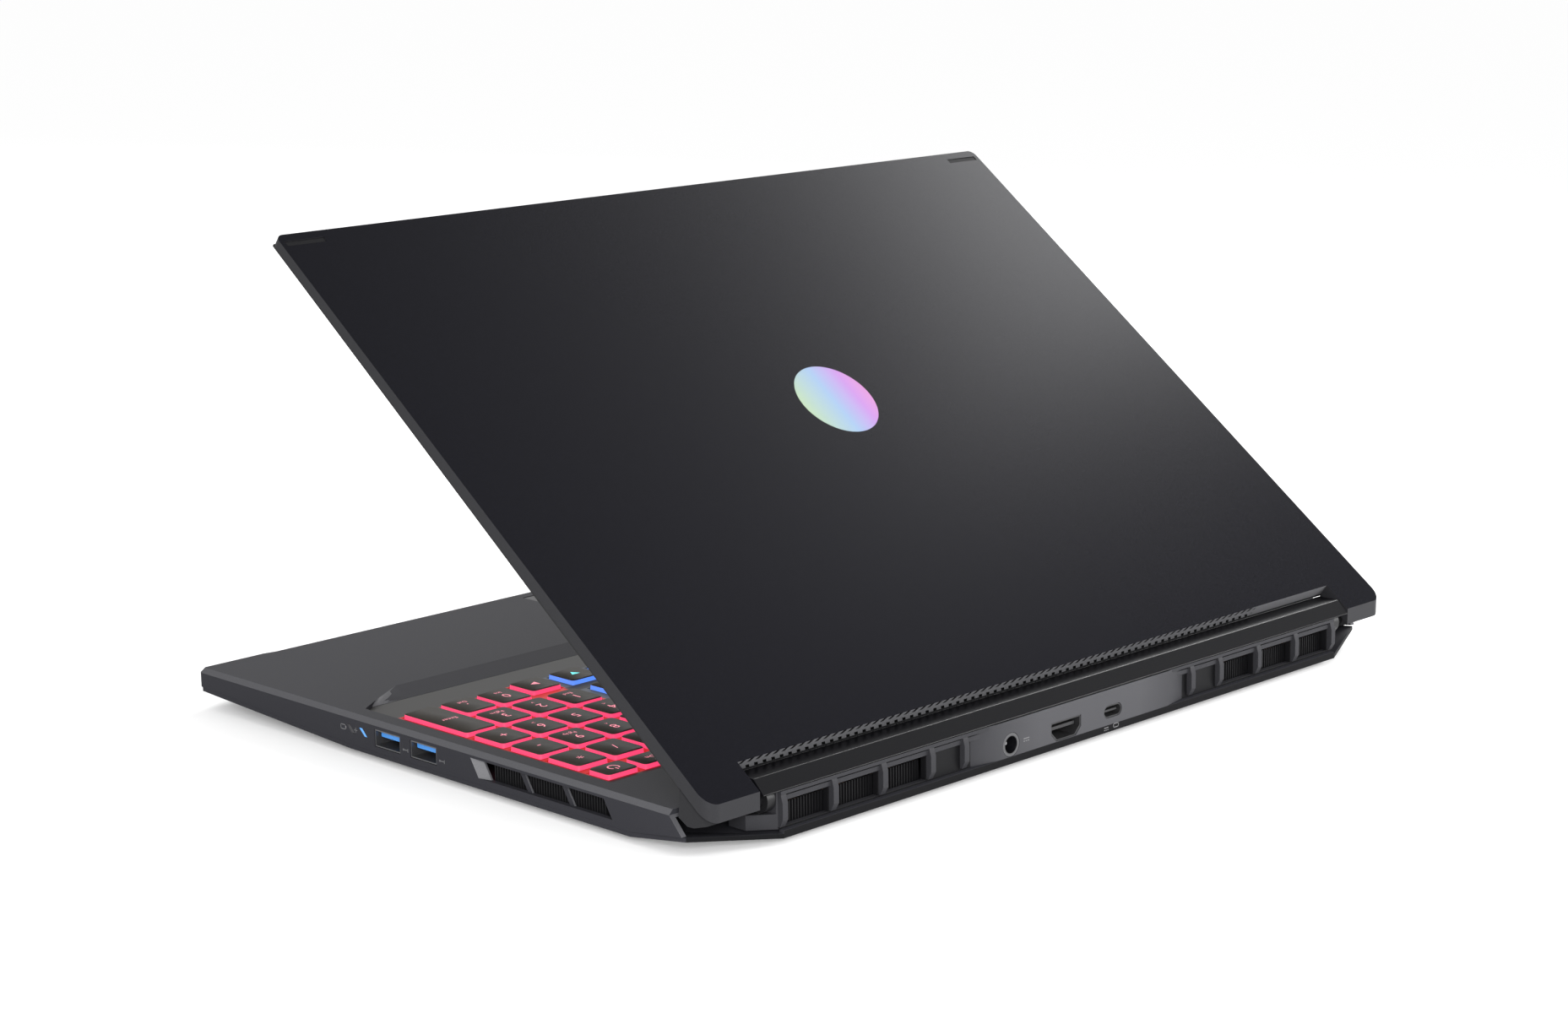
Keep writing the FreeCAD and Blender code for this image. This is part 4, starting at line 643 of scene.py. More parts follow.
def islands(node):
    """Boxes of the separate solids of a node, left to right: lowest and highest corner."""
    build = bmesh.new()
    build.from_mesh(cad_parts[node].data)
    bmesh.ops.remove_doubles(build, verts=build.verts, dist=WELD)
    todo = set(build.verts)
    boxes = []
    while todo:
        stack = [todo.pop()]
        points = []
        while stack:
            vertex = stack.pop()
            points.append(vertex.co.copy())
            for edge in vertex.link_edges:
                other = edge.other_vert(vertex)
                if other in todo:
                    todo.remove(other)
                    stack.append(other)
        low = Vector([min(point[axis] for point in points) for axis in range(3)])
        high = Vector([max(point[axis] for point in points) for axis in range(3)])
        boxes.append((low, high))
    build.free()
    digits = 5
    return sorted(boxes, key=lambda box: (round(box[0].x, digits), round(box[0].y, digits)))


# Geometry node trees.
def new_tree(name, inputs):
    """Node group with named inputs; returns the tree and its group nodes."""
    tree = bpy.data.node_groups.new(name, "GeometryNodeTree")
    tree.interface.new_socket("Geometry", in_out="INPUT", socket_type="NodeSocketGeometry")
    for title, kind in inputs:
        tree.interface.new_socket(title, in_out="INPUT", socket_type=kind)
    tree.interface.new_socket("Geometry", in_out="OUTPUT", socket_type="NodeSocketGeometry")
    return tree, tree.nodes.new("NodeGroupInput"), tree.nodes.new("NodeGroupOutput")


def run_tree(tree, mesh, values):
    """Mesh that the tree makes from a start mesh and values for its named inputs."""
    holder = placed(tree.name + "_holder", mesh)
    modifier = holder.modifiers.new("tree", "NODES")
    modifier.node_group = tree
    for item in tree.interface.items_tree:
        if item.item_type == "SOCKET" and item.in_out == "INPUT" and item.name in values:
            modifier[item.identifier] = values[item.name]
    return plain_mesh(holder)


def together(tree, parts):
    """Several geometries as one."""
    join = tree.nodes.new("GeometryNodeJoinGeometry")
    for part in parts:
        link(tree, part, join.inputs[0])
    return join.outputs[0]


def painted(tree, geometry, material):
    """Geometry made real, with one finish."""
    realize = tree.nodes.new("GeometryNodeRealizeInstances")
    paint = tree.nodes.new("GeometryNodeSetMaterial")
    link(tree, geometry, realize.inputs["Geometry"])
    link(tree, realize.outputs["Geometry"], paint.inputs["Geometry"])
    link(tree, material, paint.inputs["Material"])
    return paint.outputs["Geometry"]


def drawn_in(tree, mesh, top, inset, size_name, axis):
    """Top faces made narrower along an axis by an inset, from their stored size."""
    size = tree.nodes.new("GeometryNodeInputNamedAttribute")
    size.data_type = "FLOAT"
    size.inputs["Name"].default_value = size_name
    keep = combined(tree, "SUBTRACT", 1.0, combined(tree, "DIVIDE", inset, size.outputs["Attribute"]))
    scale = tree.nodes.new("GeometryNodeScaleElements")
    scale.domain = "FACE"
    scale.scale_mode = "SINGLE_AXIS"
    scale.inputs["Axis"].default_value = axis
    link(tree, mesh, scale.inputs["Geometry"])
    link(tree, top, scale.inputs["Selection"])
    link(tree, keep, scale.inputs["Scale"])
    return scale.outputs["Geometry"]


def raised(tree, faces, height, inset):
    """Faces raised by a height and drawn in; returns their walls and their tops."""
    grow = tree.nodes.new("GeometryNodeExtrudeMesh")
    grow.inputs["Individual"].default_value = True
    link(tree, faces, grow.inputs["Mesh"])
    link(tree, height, grow.inputs["Offset Scale"])
    mesh = drawn_in(tree, grow.outputs["Mesh"], grow.outputs["Top"], inset, "wide", (1, 0, 0))
    mesh = drawn_in(tree, mesh, grow.outputs["Top"], inset, "deep", (0, 1, 0))
    split = tree.nodes.new("GeometryNodeSeparateGeometry")
    split.domain = "FACE"
    link(tree, mesh, split.inputs["Geometry"])
    link(tree, grow.outputs["Top"], split.inputs["Selection"])
    return split.outputs["Inverted"], split.outputs["Selection"]


def key_tree():
    """Outlines grow into keys: a clear skirt, a dark cap, and a rounded top edge."""
    tree, source, result = new_tree("Key caps", (
        ("Skirt Height", "NodeSocketFloat"), ("Cap Height", "NodeSocketFloat"),
        ("Rounding", "NodeSocketFloat"), ("Taper", "NodeSocketFloat"),
        ("Skirt", "NodeSocketMaterial"), ("Cap", "NodeSocketMaterial")))
    given = source.outputs
    under = tree.nodes.new("GeometryNodeFlipFaces")
    link(tree, given["Geometry"], under.inputs["Mesh"])
    top, walls = given["Geometry"], {}
    for title, share in KEY_STEPS:
        inset = combined(tree, "MULTIPLY", given["Taper"], 2 * share)
        walls[title], top = raised(tree, top, given[title], inset)
    skirt = together(tree, (under.outputs["Mesh"], walls["Skirt Height"]))
    cap = together(tree, (walls["Cap Height"], walls["Rounding"], top))
    key = together(tree, (painted(tree, skirt, given["Skirt"]), painted(tree, cap, given["Cap"])))
    merge = tree.nodes.new("GeometryNodeMergeByDistance")
    merge.inputs["Distance"].default_value = WELD
    link(tree, key, merge.inputs["Geometry"])
    link(tree, merge.outputs["Geometry"], result.inputs["Geometry"])
    return tree


def fin_tree():
    """Row of thin upright plates along a line."""
    tree, source, result = new_tree("Fin row", (
        ("Count", "NodeSocketInt"), ("Start", "NodeSocketVector"), ("Step", "NodeSocketVector"),
        ("Plate", "NodeSocketVector"), ("Finish", "NodeSocketMaterial")))
    given = source.outputs
    line = tree.nodes.new("GeometryNodeMeshLine")
    line.mode = "OFFSET"
    plate = tree.nodes.new("GeometryNodeMeshCube")
    spread = tree.nodes.new("GeometryNodeInstanceOnPoints")
    link(tree, given["Count"], line.inputs["Count"])
    link(tree, given["Start"], line.inputs["Start Location"])
    link(tree, given["Step"], line.inputs["Offset"])
    link(tree, given["Plate"], plate.inputs["Size"])
    link(tree, line.outputs["Mesh"], spread.inputs["Points"])
    link(tree, plate.outputs["Mesh"], spread.inputs["Instance"])
    row = painted(tree, spread.outputs["Instances"], given["Finish"])
    link(tree, row, result.inputs["Geometry"])
    return tree


# Keys.
def on_circle(radius, degrees):
    turn = math.radians(degrees)
    return (radius * math.cos(turn), radius * math.sin(turn))


def rounded_outline(low, high, height, corner):
    """Points round a box's plan with round corners."""
    arc_steps = 3
    inner_low, inner_high = low.xy + Vector((corner, corner)), high.xy - Vector((corner, corner))
    centres = (inner_high, (inner_low.x, inner_high.y), inner_low, (inner_high.x, inner_low.y))
    points = []
    for quarter, centre in enumerate(centres):
        for step in range(arc_steps + 1):
            x, y = on_circle(corner, 90 * (quarter + step / arc_steps))
            points.append((centre[0] + x, centre[1] + y, height))
    return points


def outline_mesh(name, plans, height, corner):
    """Rounded outlines as faces, with their sizes stored for the taper."""
    build = bmesh.new()
    wide = build.faces.layers.float.new("wide")
    deep = build.faces.layers.float.new("deep")
    for low, high in plans:
        outline = rounded_outline(low, high, height, corner)
        face = build.faces.new([build.verts.new(point) for point in outline])
        face[wide], face[deep] = (high - low).xy
    return mesh_from(build, name)


def key_blocks():
    """Plan rectangles of the keys that stand close together."""
    blocks = []
    for starts in KEY_GROUPS:
        boxes = [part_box(node) for node in LEGENDS if node.startswith(starts)]
        low = [min(box[0][axis] for box in boxes) for axis in (0, 1)]
        high = [max(box[1][axis] for box in boxes) for axis in (0, 1)]
        blocks.append((low, high))
    return blocks


def legend_mesh(text, size, place):
    """Flat lettering lying on a key, read from the front."""
    curve = bpy.data.curves.new("legend", "FONT")
    curve.body = text
    curve.size = size
    curve.align_x = "CENTER"
    curve.align_y = "CENTER"
    curve.resolution_u = 2
    mesh = plain_mesh(placed("legend_holder", curve))
    for vertex in mesh.vertices:
        vertex.co += place
    return mesh


def sign_mesh(polygons, place):
    """Flat sign from plan polygons round a place."""
    moved = [[place + Vector((*corner, 0)) for corner in polygon] for polygon in polygons]
    return polygon_mesh("sign", moved)


def power_sign():
    """Open ring with a bar in its gap."""
    inner, outer = 1.7 * MM, 2.2 * MM
    ring_start, ring_end, step = 130, 410, 20
    sign = []
    for turn in range(ring_start, ring_end, step):
        sign.append((on_circle(inner, turn), on_circle(outer, turn),
                     on_circle(outer, turn + step), on_circle(inner, turn + step)))
    half, low, high = 0.25 * MM, 0.9 * MM, 2.6 * MM
    sign.append(((-half, low), (half, low), (half, high), (-half, high)))
    return sign


def arrow_sign(heading):
    """Triangle that points along a heading."""
    reach = 2.1 * MM
    return [[on_circle(reach, heading + turn) for turn in (0, 120, 240)]]


def key_marks(text, centre):
    """Meshes of a key's sign, or of its lettering with a smaller label in front."""
    if text in ARROW_TURNS:
        return [sign_mesh(arrow_sign(ARROW_TURNS[text]), centre)]
    if text == "power":
        return [sign_mesh(power_sign(), centre)]
    letter_size, word_size, label_size = 6.0 * MM, 3.0 * MM, 2.6 * MM
    letter_rise, label_drop = 1.0 * MM, 3.6 * MM
    main, _, label = text.partition("\n")
    size = letter_size if len(main) == 1 else word_size
    if not label:
        return [legend_mesh(main, size, centre)]
    return [legend_mesh(main, size, centre + Vector((0, letter_rise, 0))),
            legend_mesh(label, label_size, centre - Vector((0, label_drop, 0)))]


class LAPTOP_OT_keys(bpy.types.Operator):
    """Make the key caps with lit skirts and legends, one piece for each moving group."""

    bl_idname = "laptop.keys"
    bl_label = "Keys"

    def execute(self, context):
        setup = sizes()
        cap = grained("key_cap_plastic", colours().cap, roughness=0.5, specular=0.06, grain=3000)
        skirt = zone_glow("lit_skirt", base=(0.05, 0.02, 0.02), strength=1.1)
        mark = zone_glow("lit_legend", base=(0.1, 0.08, 0.08), strength=1.0, shade=(1.0, 4.5, 2.0))
        tree = key_tree()
        cap_angle = 50
        for node, texts in LEGENDS.items():
            plans = islands(node)
            outlines = outline_mesh(node + "_outline", plans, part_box(node)[0][2], setup.key_corner)
            caps = run_tree(tree, outlines, {
                "Skirt Height": setup.skirt_height, "Cap Height": setup.cap_height,
                "Rounding": setup.cap_round, "Taper": setup.key_taper, "Skirt": skirt, "Cap": cap})
            shade_by_angle(caps, cap_angle)
            new_piece(node + "_caps", caps, node + "_travel", (node,))
            self.add_legends(node, plans, texts, mark)
        return {"FINISHED"}

    def add_legends(self, node, plans, texts, material):
        """Lettering and signs a hair above the key tops."""
        proud = 0.03 * MM
        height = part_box(node)[1][2] + proud
        marks = []
        for (low, high), text in zip(plans, texts):
            if text:
                middle = (low + high) / 2
                marks += key_marks(text, Vector((middle.x, middle.y, height)))
        if marks:
            legends = joined(marks)
            legends.materials.clear()
            legends.materials.append(material)
            new_piece(node + "_legends", legends, node + "_travel")


class LAPTOP_OT_fins(bpy.types.Operator):
    """Make the close rows of cooling fins behind the vents."""

    bl_idname = "laptop.fins"
    bl_label = "Cooling fins"

    def execute(self, context):
        setup = sizes()
        finish = grained("fin_metal", NEAR_BLACK, roughness=0.5, specular=0.15, grain=900)
        tree = fin_tree()
        rows = []
        for low, high in islands("fin_stacks"):
            size = high - low
            along = 1 if size.y > size.x else 0
            step, plate = Vector(), Vector(size)
            step[along] = setup.fin_pitch
            plate[along] = setup.fin_thick
            start = (low + high) / 2
            start[along] = low[along] + setup.fin_thick / 2
            count = int((size[along] - setup.fin_thick) / setup.fin_pitch) + 1
            rows.append(run_tree(tree, bpy.data.meshes.new("row"), {
                "Count": count, "Start": start, "Step": step, "Plate": plate, "Finish": finish}))
        new_piece("cooling_fins", joined(rows), "base", ("fin_stacks",))
        return {"FINISHED"}


class LAPTOP_OT_lid(bpy.types.Operator):
    """Finish the lid, its trim and the display."""

    bl_idname = "laptop.lid"
    bl_label = "Lid"

    def execute(self, context):
        paint = sparkling("lid_matte_paint", colours().lid, roughness=0.26, specular=0.03)
        shell = softened("lid_cover", "lid_shell", "lid", paint, width=0.35 * MM)
        up = max(shell.data.polygons, key=lambda face: face.area).normal.copy()
        up = up if up.z > 0 else -up
        # The lid's narrow sides get a lighter tone: painted light.
        rim = grained("lid_rim_paint", colours().rim, roughness=0.45, specular=0.1, grain=2600)
        along_lid = 0.85
        repaint(shell, rim, lambda normal, place: abs(normal.dot(up)) < along_lid)
        self.mark_slits(shell, up)
        ear = grained("ear_grain", EAR_GREY, roughness=0.6, specular=0.1, grain=1800, relief=0.5)
        blocks = softened("ear_covers", "ear_blocks", "lid", ear, width=0.4 * MM)
        self.round_ends(blocks)
        wear(grained("antenna_plastic", ANTENNA_BLACK, roughness=0.6, specular=0.05), "antenna_covers")
        wear(pearly("pearl_inlay", "lid_emblem"), "lid_emblem")
        wear(grained("bezel_plastic", HINGE_BLACK, roughness=0.6, specular=0.25), "display_bezel")
        screen = grained("screen_glass", SCREEN_BLACK, roughness=0.22, specular=0.4, grain=200, relief=0.0)
        wear(screen, "display_panel")
        wear(grained("lens_glass", LENS_BLACK, roughness=0.15, specular=0.5), "webcam")
        wear(grained("hinge_black", HINGE_BLACK, roughness=0.4, specular=0.2, grain=600), "hinge_arms")
        wear(grained("bumper_rubber", RUBBER_GREY, roughness=0.8, specular=0.2), "lid_bumpers")
        return {"FINISHED"}

    def round_ends(self, blocks):
        """Keep the blocks inside the lid's rounded rear corners."""
        side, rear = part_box("lid_cover")[1][:2]
        for vertex in blocks.data.vertices:
            past = vertex.co.y - (rear - LID_CORNER)
            if past > 0:
                room = math.sqrt(max(0, LID_CORNER ** 2 - past ** 2))
                limit = side - LID_CORNER + room - EAR_INSET
                vertex.co.x = max(-limit, min(limit, vertex.co.x))

    def mark_slits(self, shell, up):
        """Slit strip painted on the lid's edge over the hinge cover, standing for the deck's lit strip seen
        through the gap: painted light.
        """
        toward_hinge = Vector((0, up.z, -up.y))
        aligned = 0.8
        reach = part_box("hinge_hump")[1][0]

        def on_edge(normal, place):
            return normal.dot(toward_hinge) > aligned and abs(place.x) < reach

        heights = []
        for face in shell.data.polygons:
            if on_edge(face.normal, face.center):
                heights += [shell.data.vertices[index].co.dot(up) for index in face.vertices]
        repaint(shell, lit_slit_band("slit_strip", up, min(heights), max(heights)), on_edge)


class LAPTOP_OT_base(bpy.types.Operator):
    """Finish the base's shells, bar and touchpad."""

    bl_idname = "laptop.base"
    bl_label = "Base shells"

    def execute(self, context):
        self.finish_shells(colours())
        self.finish_bar(colours())
        glow = zone_glow("lit_frame", base=(0.012, 0.011, 0.010), strength=0.62, shade=(0.9, 0.35, 0.12),
                         around=key_blocks())
        wear(glow, "keyboard_frame")
        wear(grained("pad_glass", TOUCHPAD_GREY, roughness=0.4, specular=0.12), "touchpad")
        bracket = grained("bracket_black", HINGE_BLACK, roughness=0.4, specular=0.2, grain=600)
        wear(bracket, "hinge_brackets")
        wear(grained("foot_rubber", RUBBER_GREY, roughness=0.85, specular=0.2), "rubber_feet")
        screw = grained("screw_steel", SCREW_STEEL, roughness=0.35, specular=0.5, metallic=0.9)
        wear(screw, "bottom_screws")
        wear(one_lit("light_lens", "status_lights", LIGHT_BLACK, LIGHT_BLUE), "status_lights")
        return {"FINISHED"}

    def finish_shells(self, tones):
        """Deck with slopes painted lighter as painted light and vent ramps painted with a glint, and bottom
        cover with a rear rim darkened as painted shade.
        """
        shell = grained("shell_paint", tones.shell, roughness=0.5, specular=0.04, grain=2600, relief=0.2)
        slope = grained("slope_paint", tones.slope, roughness=0.5, specular=0.06, grain=2600, relief=0.2)
        ramp = grained("ramp_paint", RAMP_GLINT_GREY, roughness=0.5, specular=0.06, grain=2600)
        dim = grained("rim_plastic", NEAR_BLACK, roughness=0.5, specular=0.04, grain=2600, relief=0.2)
        steepest, flattest = 0.12, 0.97
        sideways, least_turn, most_turn = 0.9, 0.15, 0.45
        rearward = 0.6

        # Slopes and bevels get a lighter tone: painted light.
        def on_slope(normal, place):
            return steepest < normal.z < flattest

        # Vent ramps get a light grey: a painted glint.
        def on_ramp(normal, place):
            return abs(normal.x) > sideways and least_turn < normal.y < most_turn

        deck = softened("top_deck", "deck_shell", "base", shell, width=0.2 * MM)
        repaint(deck, slope, on_slope)
        repaint(deck, ramp, on_ramp)
        bottom = softened("bottom_cover", "bottom_shell", "base", shell, width=0.3 * MM)
        # The bottom cover's rear-facing rim is darkened: painted shade.
        repaint(bottom, dim, lambda normal, place: normal.y > rearward)

    def finish_bar(self, tones):
        """Ribbed bar with a socket zone painted lighter as painted light and recesses darkened as painted
        shade, and the hinge cover over it.
        """
        bar = grained("bar_plastic", tones.bar, roughness=0.5, specular=0.08, grain=2200, relief=0.25)
        hump = grained("hump_plastic", tones.hump, roughness=0.32, specular=0.08, grain=2200, relief=0.2)
        recess_shade = grained(
            "recess_plastic", NEAR_BLACK, roughness=0.5, specular=0.08, grain=2200, relief=0.25)
        end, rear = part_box("rear_grille")[1][:2]
        port_reach, upward = end - SOCKET_ZONE, 0.5
        # Lighter middle of the bar, the socket zone: painted light.
        port_light = shaded_across("port_plastic", port_reach, tones.bar, tones.port_light)

        # Recess faces beside the socket zone are darkened: painted shade.
        def in_recess(normal, place):
            beside_port = port_reach < abs(place.x) < end - END_FACET
            return beside_port and place.y < rear - RIB_DEPTH and normal.z < upward

        ribbed = softened("rear_grille", "ribbed_bar", "base", bar, width=0.35 * MM)
        repaint(ribbed, port_light, lambda normal, place: abs(place.x) < port_reach)
        repaint(ribbed, recess_shade, in_recess)
        softened("hinge_hump", "hinge_cover", "base", hump, width=0.3 * MM)


class LAPTOP_OT_sockets(bpy.types.Operator):
    """Finish the sockets."""

    bl_idname = "laptop.sockets"
    bl_label = "Sockets"

    def execute(self, context):
        self.make_data_sockets()
        dark = grained("socket_dark_steel", DARK_STEEL, roughness=0.4, metallic=0.6, grain=800)
        wear(dark, "video_socket", "usb_c_socket")
        black = grained("socket_plastic", NEAR_BLACK, roughness=0.5, specular=0.2)
        wear(black, "network_socket", "audio_socket")
        low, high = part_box("power_inlet")
        radius = (high[0] - low[0]) / 2
        pin, bore = 0.2 * radius, 0.78 * radius
        centre = [(start + end) / 2 for start, end in zip(low, high)]
        wear(rings("inlet_rings", centre, (0.0, pin, bore), INLET_TONES), "power_inlet")
        return {"FINISHED"}

    def make_data_sockets(self):
        """Copy of the wide data sockets with coloured contact tongues."""
        steel = grained("socket_steel", SOCKET_STEEL, roughness=0.35, specular=0.4, metallic=0.8, grain=800)
        blue = grained("tongue_blue", TONGUE_BLUE, roughness=0.4)
        wall, tongue_low, tongue_high, tongue_share = 1.1 * MM, 0.2 * MM, 2.1 * MM, 0.41
        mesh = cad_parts["usb_a_sockets"].data.copy()
        mesh.materials.clear()
        mesh.materials.append(steel)
        mesh.materials.append(blue)
        for low, high in islands("usb_a_sockets"):
            middle, size = (low + high) / 2, high - low
            for face in mesh.polygons:
                place = face.center - middle
                on_tongue = abs(place.y) < tongue_share * size.y and tongue_low < place.z < tongue_high
                if on_tongue and abs(place.x) < size.x / 2 - wall:
                    face.material_index = 1
        new_piece("usb_shells", mesh, "base", ("usb_a_sockets",))


# Signs, as bars in millimetres: place across, place up, width and height.
LINE = 0.3

# Places of the signs from the corner of the lights, the data sockets, the inlet and the small socket.
BATTERY_PLACE = (-3.7, 0.4)
PLUS_PLACE = (4.0, 0.45)
DATA_PLACE = (1.6, -0.9)
INLET_PLACE = (2.2, 3.7)
SUPPLY_PLACE = (-9.6, -1.8)
SCREEN_PLACE = (-4.6, -1.7)
SCREEN_SIZE = (3.0, 1.6)


def frame_sign(left, low, width, height):
    """Four bars round a rectangle."""
    return [(left, low, width, LINE), (left, low + height - LINE, width, LINE),
            (left, low, LINE, height), (left + width - LINE, low, LINE, height)]


def battery_sign(left, low):
    """Outlined cell with a nub at its end."""
    width, height = 2.9, 1.9
    nub_rise, nub_width, nub_height = 0.5, 0.35, 0.9
    return frame_sign(left, low, width, height) + [(left + width, low + nub_rise, nub_width, nub_height)]


def plus_sign(left, low):
    """Two crossed bars."""
    size = 1.8
    inset = (size - LINE) / 2
    return [(left, low + inset, size, LINE), (left + inset, low, LINE, size)]


def data_sign(left, low):
    """Stem with a knot at one end and a bar across the other."""
    knot, stem, bar = 0.7, 2.4, 1.3
    stem_start, bar_start = left + 0.4, left + 2.6
    middle = low + bar / 2
    return [(left, middle - knot / 2, knot, knot), (stem_start, middle - LINE / 2, stem, LINE),
            (bar_start, low, LINE, bar)]


def current_sign(left, low, length, dash, pitch, rise, line):
    """Straight line over three dashes."""
    dashes = [(left + step * pitch, low, dash, line) for step in range(3)]
    return [(left, low + rise, length, line)] + dashes


class LAPTOP_OT_marks(bpy.types.Operator):
    """Make the plain marks beside the sockets and lights."""

    bl_idname = "laptop.marks"
    bl_label = "Marks"

    def execute(self, context):
        ink = grained("mark_ink", INK_GREY, roughness=0.6, specular=0.1)
        proud = 0.02 * MM
        side, rear = CAD_BOX[1][:2]
        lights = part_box("status_lights")[0]
        signs = battery_sign(*BATTERY_PLACE) + plus_sign(*PLUS_PLACE)
        for low, high in islands("usb_a_sockets")[1:]:
            signs += data_sign((high.y - lights[1]) / MM + DATA_PLACE[0], DATA_PLACE[1])
        corner = Vector((side + proud, lights[1], lights[2]))
        self.print_signs("side_marks", corner, Vector((0, 1, 0)), signs, ink)
        inlet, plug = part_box("power_inlet")[0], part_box("usb_c_socket")[0]
        across = (inlet[0] - plug[0]) / MM
        supply_left, screen_left = across + SUPPLY_PLACE[0], across + SCREEN_PLACE[0]
        signs = current_sign(*INLET_PLACE, length=3.0, dash=0.7, pitch=1.1, rise=0.9, line=0.35)
        signs += current_sign(
            supply_left, SUPPLY_PLACE[1], length=2.4, dash=0.6, pitch=0.9, rise=0.8, line=LINE)
        signs += frame_sign(screen_left, SCREEN_PLACE[1], *SCREEN_SIZE)
        corner = Vector((inlet[0], rear + proud, inlet[2]))
        self.print_signs("rear_marks", corner, Vector((-1, 0, 0)), signs, ink)
        return {"FINISHED"}

    def print_signs(self, name, corner, across, bars, ink):
        """Thin bars on an upright wall, from a corner along a direction."""
        up = Vector((0, 0, 1))
        polygons = []
        for left, low, width, height in bars:
            right, high = left + width, low + height
            corners = ((left, low), (right, low), (right, high), (left, high))
            polygons.append([corner + across * u * MM + up * v * MM for u, v in corners])
        mesh = polygon_mesh(name, polygons)
        mesh.materials.append(ink)
        new_piece(name, mesh, "base")


class LAPTOP_OT_inside(bpy.types.Operator):
    """Finish the pieces inside the base."""

    bl_idname = "laptop.inside"
    bl_label = "Inner pieces"

    def execute(self, context):
        board = grained("board_laminate", BOARD_GREEN, roughness=0.5, grain=300)
        black = grained("inner_plastic", INNER_BLACK, roughness=0.6, specular=0.25)
        copper = grained("pipe_copper", PIPE_COPPER, roughness=0.35, specular=0.5, metallic=1.0, grain=500)
        steel = grained("plate_steel", PLATE_STEEL, roughness=0.4, specular=0.5, metallic=0.9, grain=500)
        wear(board, "mainboard", "memory_modules", "storage_drive", "wireless_card")
        wear(black, "processors", "battery_pack", "speakers", "fan_housing_left", "fan_housing_right",
             "fan_rotor_left", "fan_rotor_right")
        wear(copper, "heat_pipes")
        wear(steel, "keyboard_plate")
        return {"FINISHED"}


# Stage.
def seen_rays(tree):
    """1 for rays that show the background: straight, mirrored or through glass."""
    path = tree.nodes.new("ShaderNodeLightPath")
    rays = ("Is Camera Ray", "Is Glossy Ray", "Is Transmission Ray")
    return merged(tree, "MAXIMUM", [path.outputs[ray] for ray in rays])


def mixed(tree, factor, first, second, output):
    """Two shaders mixed into a tree's output node."""
    mix = tree.nodes.new("ShaderNodeMixShader")
    link(tree, factor, mix.inputs[0])
    link(tree, first.outputs[0], mix.inputs[1])
    link(tree, second.outputs[0], mix.inputs[2])
    link(tree, mix.outputs[0], tree.nodes.new(output).inputs["Surface"])


def area_lamp(name, power, place, aim, size):
    """Rectangular lamp that looks at a point."""
    lamp = bpy.data.lights.new(name, "AREA")
    lamp.shape = "RECTANGLE"
    lamp.size, lamp.size_y = size
    lamp.energy = power
    holder = placed(name, lamp)
    holder.location = place
    holder.rotation_euler = (Vector(aim) - Vector(place)).to_track_quat("-Z", "Y").to_euler()


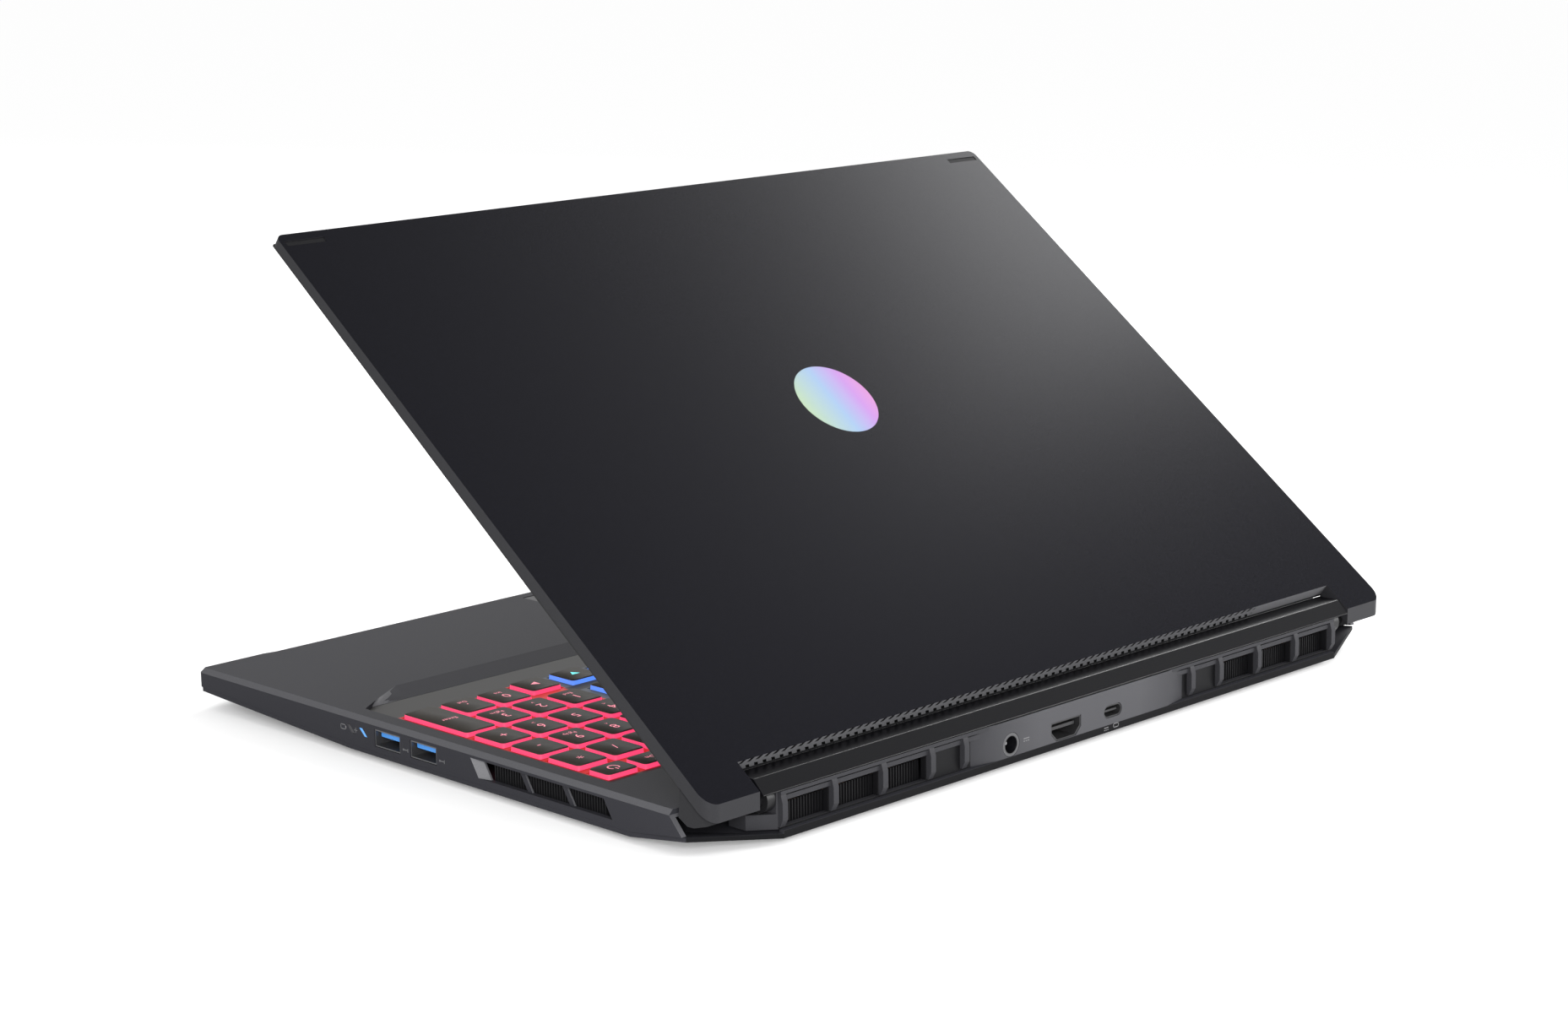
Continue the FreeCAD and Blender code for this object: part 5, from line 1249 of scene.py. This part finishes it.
class LAPTOP_OT_stage(bpy.types.Operator):
    """Make the floor, light and camera."""

    bl_idname = "laptop.stage"
    bl_label = "Stage"

    def execute(self, context):
        scene = context.scene
        setup = scene.laptop_stage
        scene.view_settings.view_transform = "Standard"
        scene.world = self.make_world(setup.world_level)
        self.make_floor()
        for name, (place, aim, size) in LAMPS.items():
            area_lamp(name + "_lamp", getattr(setup, name + "_level"), place, aim, size)
        scene.camera = self.make_camera()
        return {"FINISHED"}

    def make_world(self, level):
        """Even light, with a white background at any level."""
        world = bpy.data.worlds.new("studio")
        world.use_nodes = True
        tree = world.node_tree
        tree.nodes.clear()
        even = tree.nodes.new("ShaderNodeBackground")
        white = tree.nodes.new("ShaderNodeBackground")
        for background, strength in ((even, level), (white, 1.0)):
            background.inputs["Color"].default_value = (1, 1, 1, 1)
            background.inputs["Strength"].default_value = strength
        mixed(tree, seen_rays(tree), even, white, "ShaderNodeOutputWorld")
        return world

    def make_floor(self):
        """Pale floor that keeps the shadow."""
        material = bpy.data.materials.new("pale_floor")
        material.use_nodes = True
        tree = material.node_tree
        tree.nodes.clear()
        lit = tree.nodes.new("ShaderNodeBsdfDiffuse")
        lit.inputs["Color"].default_value = (*FLOOR_TONE, 1)
        glow = tree.nodes.new("ShaderNodeEmission")
        glow.inputs["Strength"].default_value = 1.0
        share = combined(tree, "MULTIPLY", seen_rays(tree), FLOOR_GLOW)
        mixed(tree, share, lit, glow, "ShaderNodeOutputMaterial")
        sides = ((-1, -1), (1, -1), (1, 1), (-1, 1))
        mesh = polygon_mesh("floor", [[(x * FLOOR_REACH, y * FLOOR_REACH, 0) for x, y in sides]])
        mesh.materials.append(material)
        placed("floor", mesh)

    def make_camera(self):
        """Camera at the photo's viewing angle."""
        camera = bpy.data.cameras.new("photo_camera")
        camera.lens = CAMERA_LENS
        camera.sensor_width = SENSOR_WIDTH
        camera.clip_start = 10.0 * MM
        holder = placed("photo_camera", camera)
        holder.location = CAMERA_PLACE
        holder.rotation_euler = Euler([math.radians(angle) for angle in CAMERA_TURN], "XYZ")
        return holder


class LAPTOP_PT_panel(bpy.types.Panel):
    """Steps that dress the laptop."""

    bl_idname = "LAPTOP_PT_panel"
    bl_label = "Laptop"
    bl_space_type = "VIEW_3D"
    bl_region_type = "UI"
    bl_category = "Laptop"

    def draw(self, context):
        for operator in OPERATORS:
            self.layout.operator(operator.bl_idname)
        for name, group in SETTINGS:
            for title in group.__annotations__:
                self.layout.prop(getattr(context.scene, name), title)


OPERATORS = (
    LAPTOP_OT_lid,
    LAPTOP_OT_base,
    LAPTOP_OT_sockets,
    LAPTOP_OT_marks,
    LAPTOP_OT_keys,
    LAPTOP_OT_fins,
    LAPTOP_OT_inside,
    LAPTOP_OT_stage,
)
SETTINGS = (
    ("laptop_colours", LaptopColours),
    ("laptop_sizes", LaptopSizes),
    ("laptop_stage", LaptopStage),
)


def register():
    for name, group in SETTINGS:
        bpy.utils.register_class(group)
        setattr(bpy.types.Scene, name, bpy.props.PointerProperty(type=group))
    for operator in OPERATORS:
        bpy.utils.register_class(operator)
    bpy.utils.register_class(LAPTOP_PT_panel)


def unregister():
    bpy.utils.unregister_class(LAPTOP_PT_panel)
    for operator in reversed(OPERATORS):
        bpy.utils.unregister_class(operator)
    for name, group in reversed(SETTINGS):
        delattr(bpy.types.Scene, name)
        bpy.utils.unregister_class(group)


def main():
    register()
    bpy.ops.laptop.lid()
    bpy.ops.laptop.base()
    bpy.ops.laptop.sockets()
    bpy.ops.laptop.marks()
    bpy.ops.laptop.keys()
    bpy.ops.laptop.fins()
    bpy.ops.laptop.inside()
    bpy.ops.laptop.stage()
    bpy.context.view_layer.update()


if __name__ == "__main__":
    main()
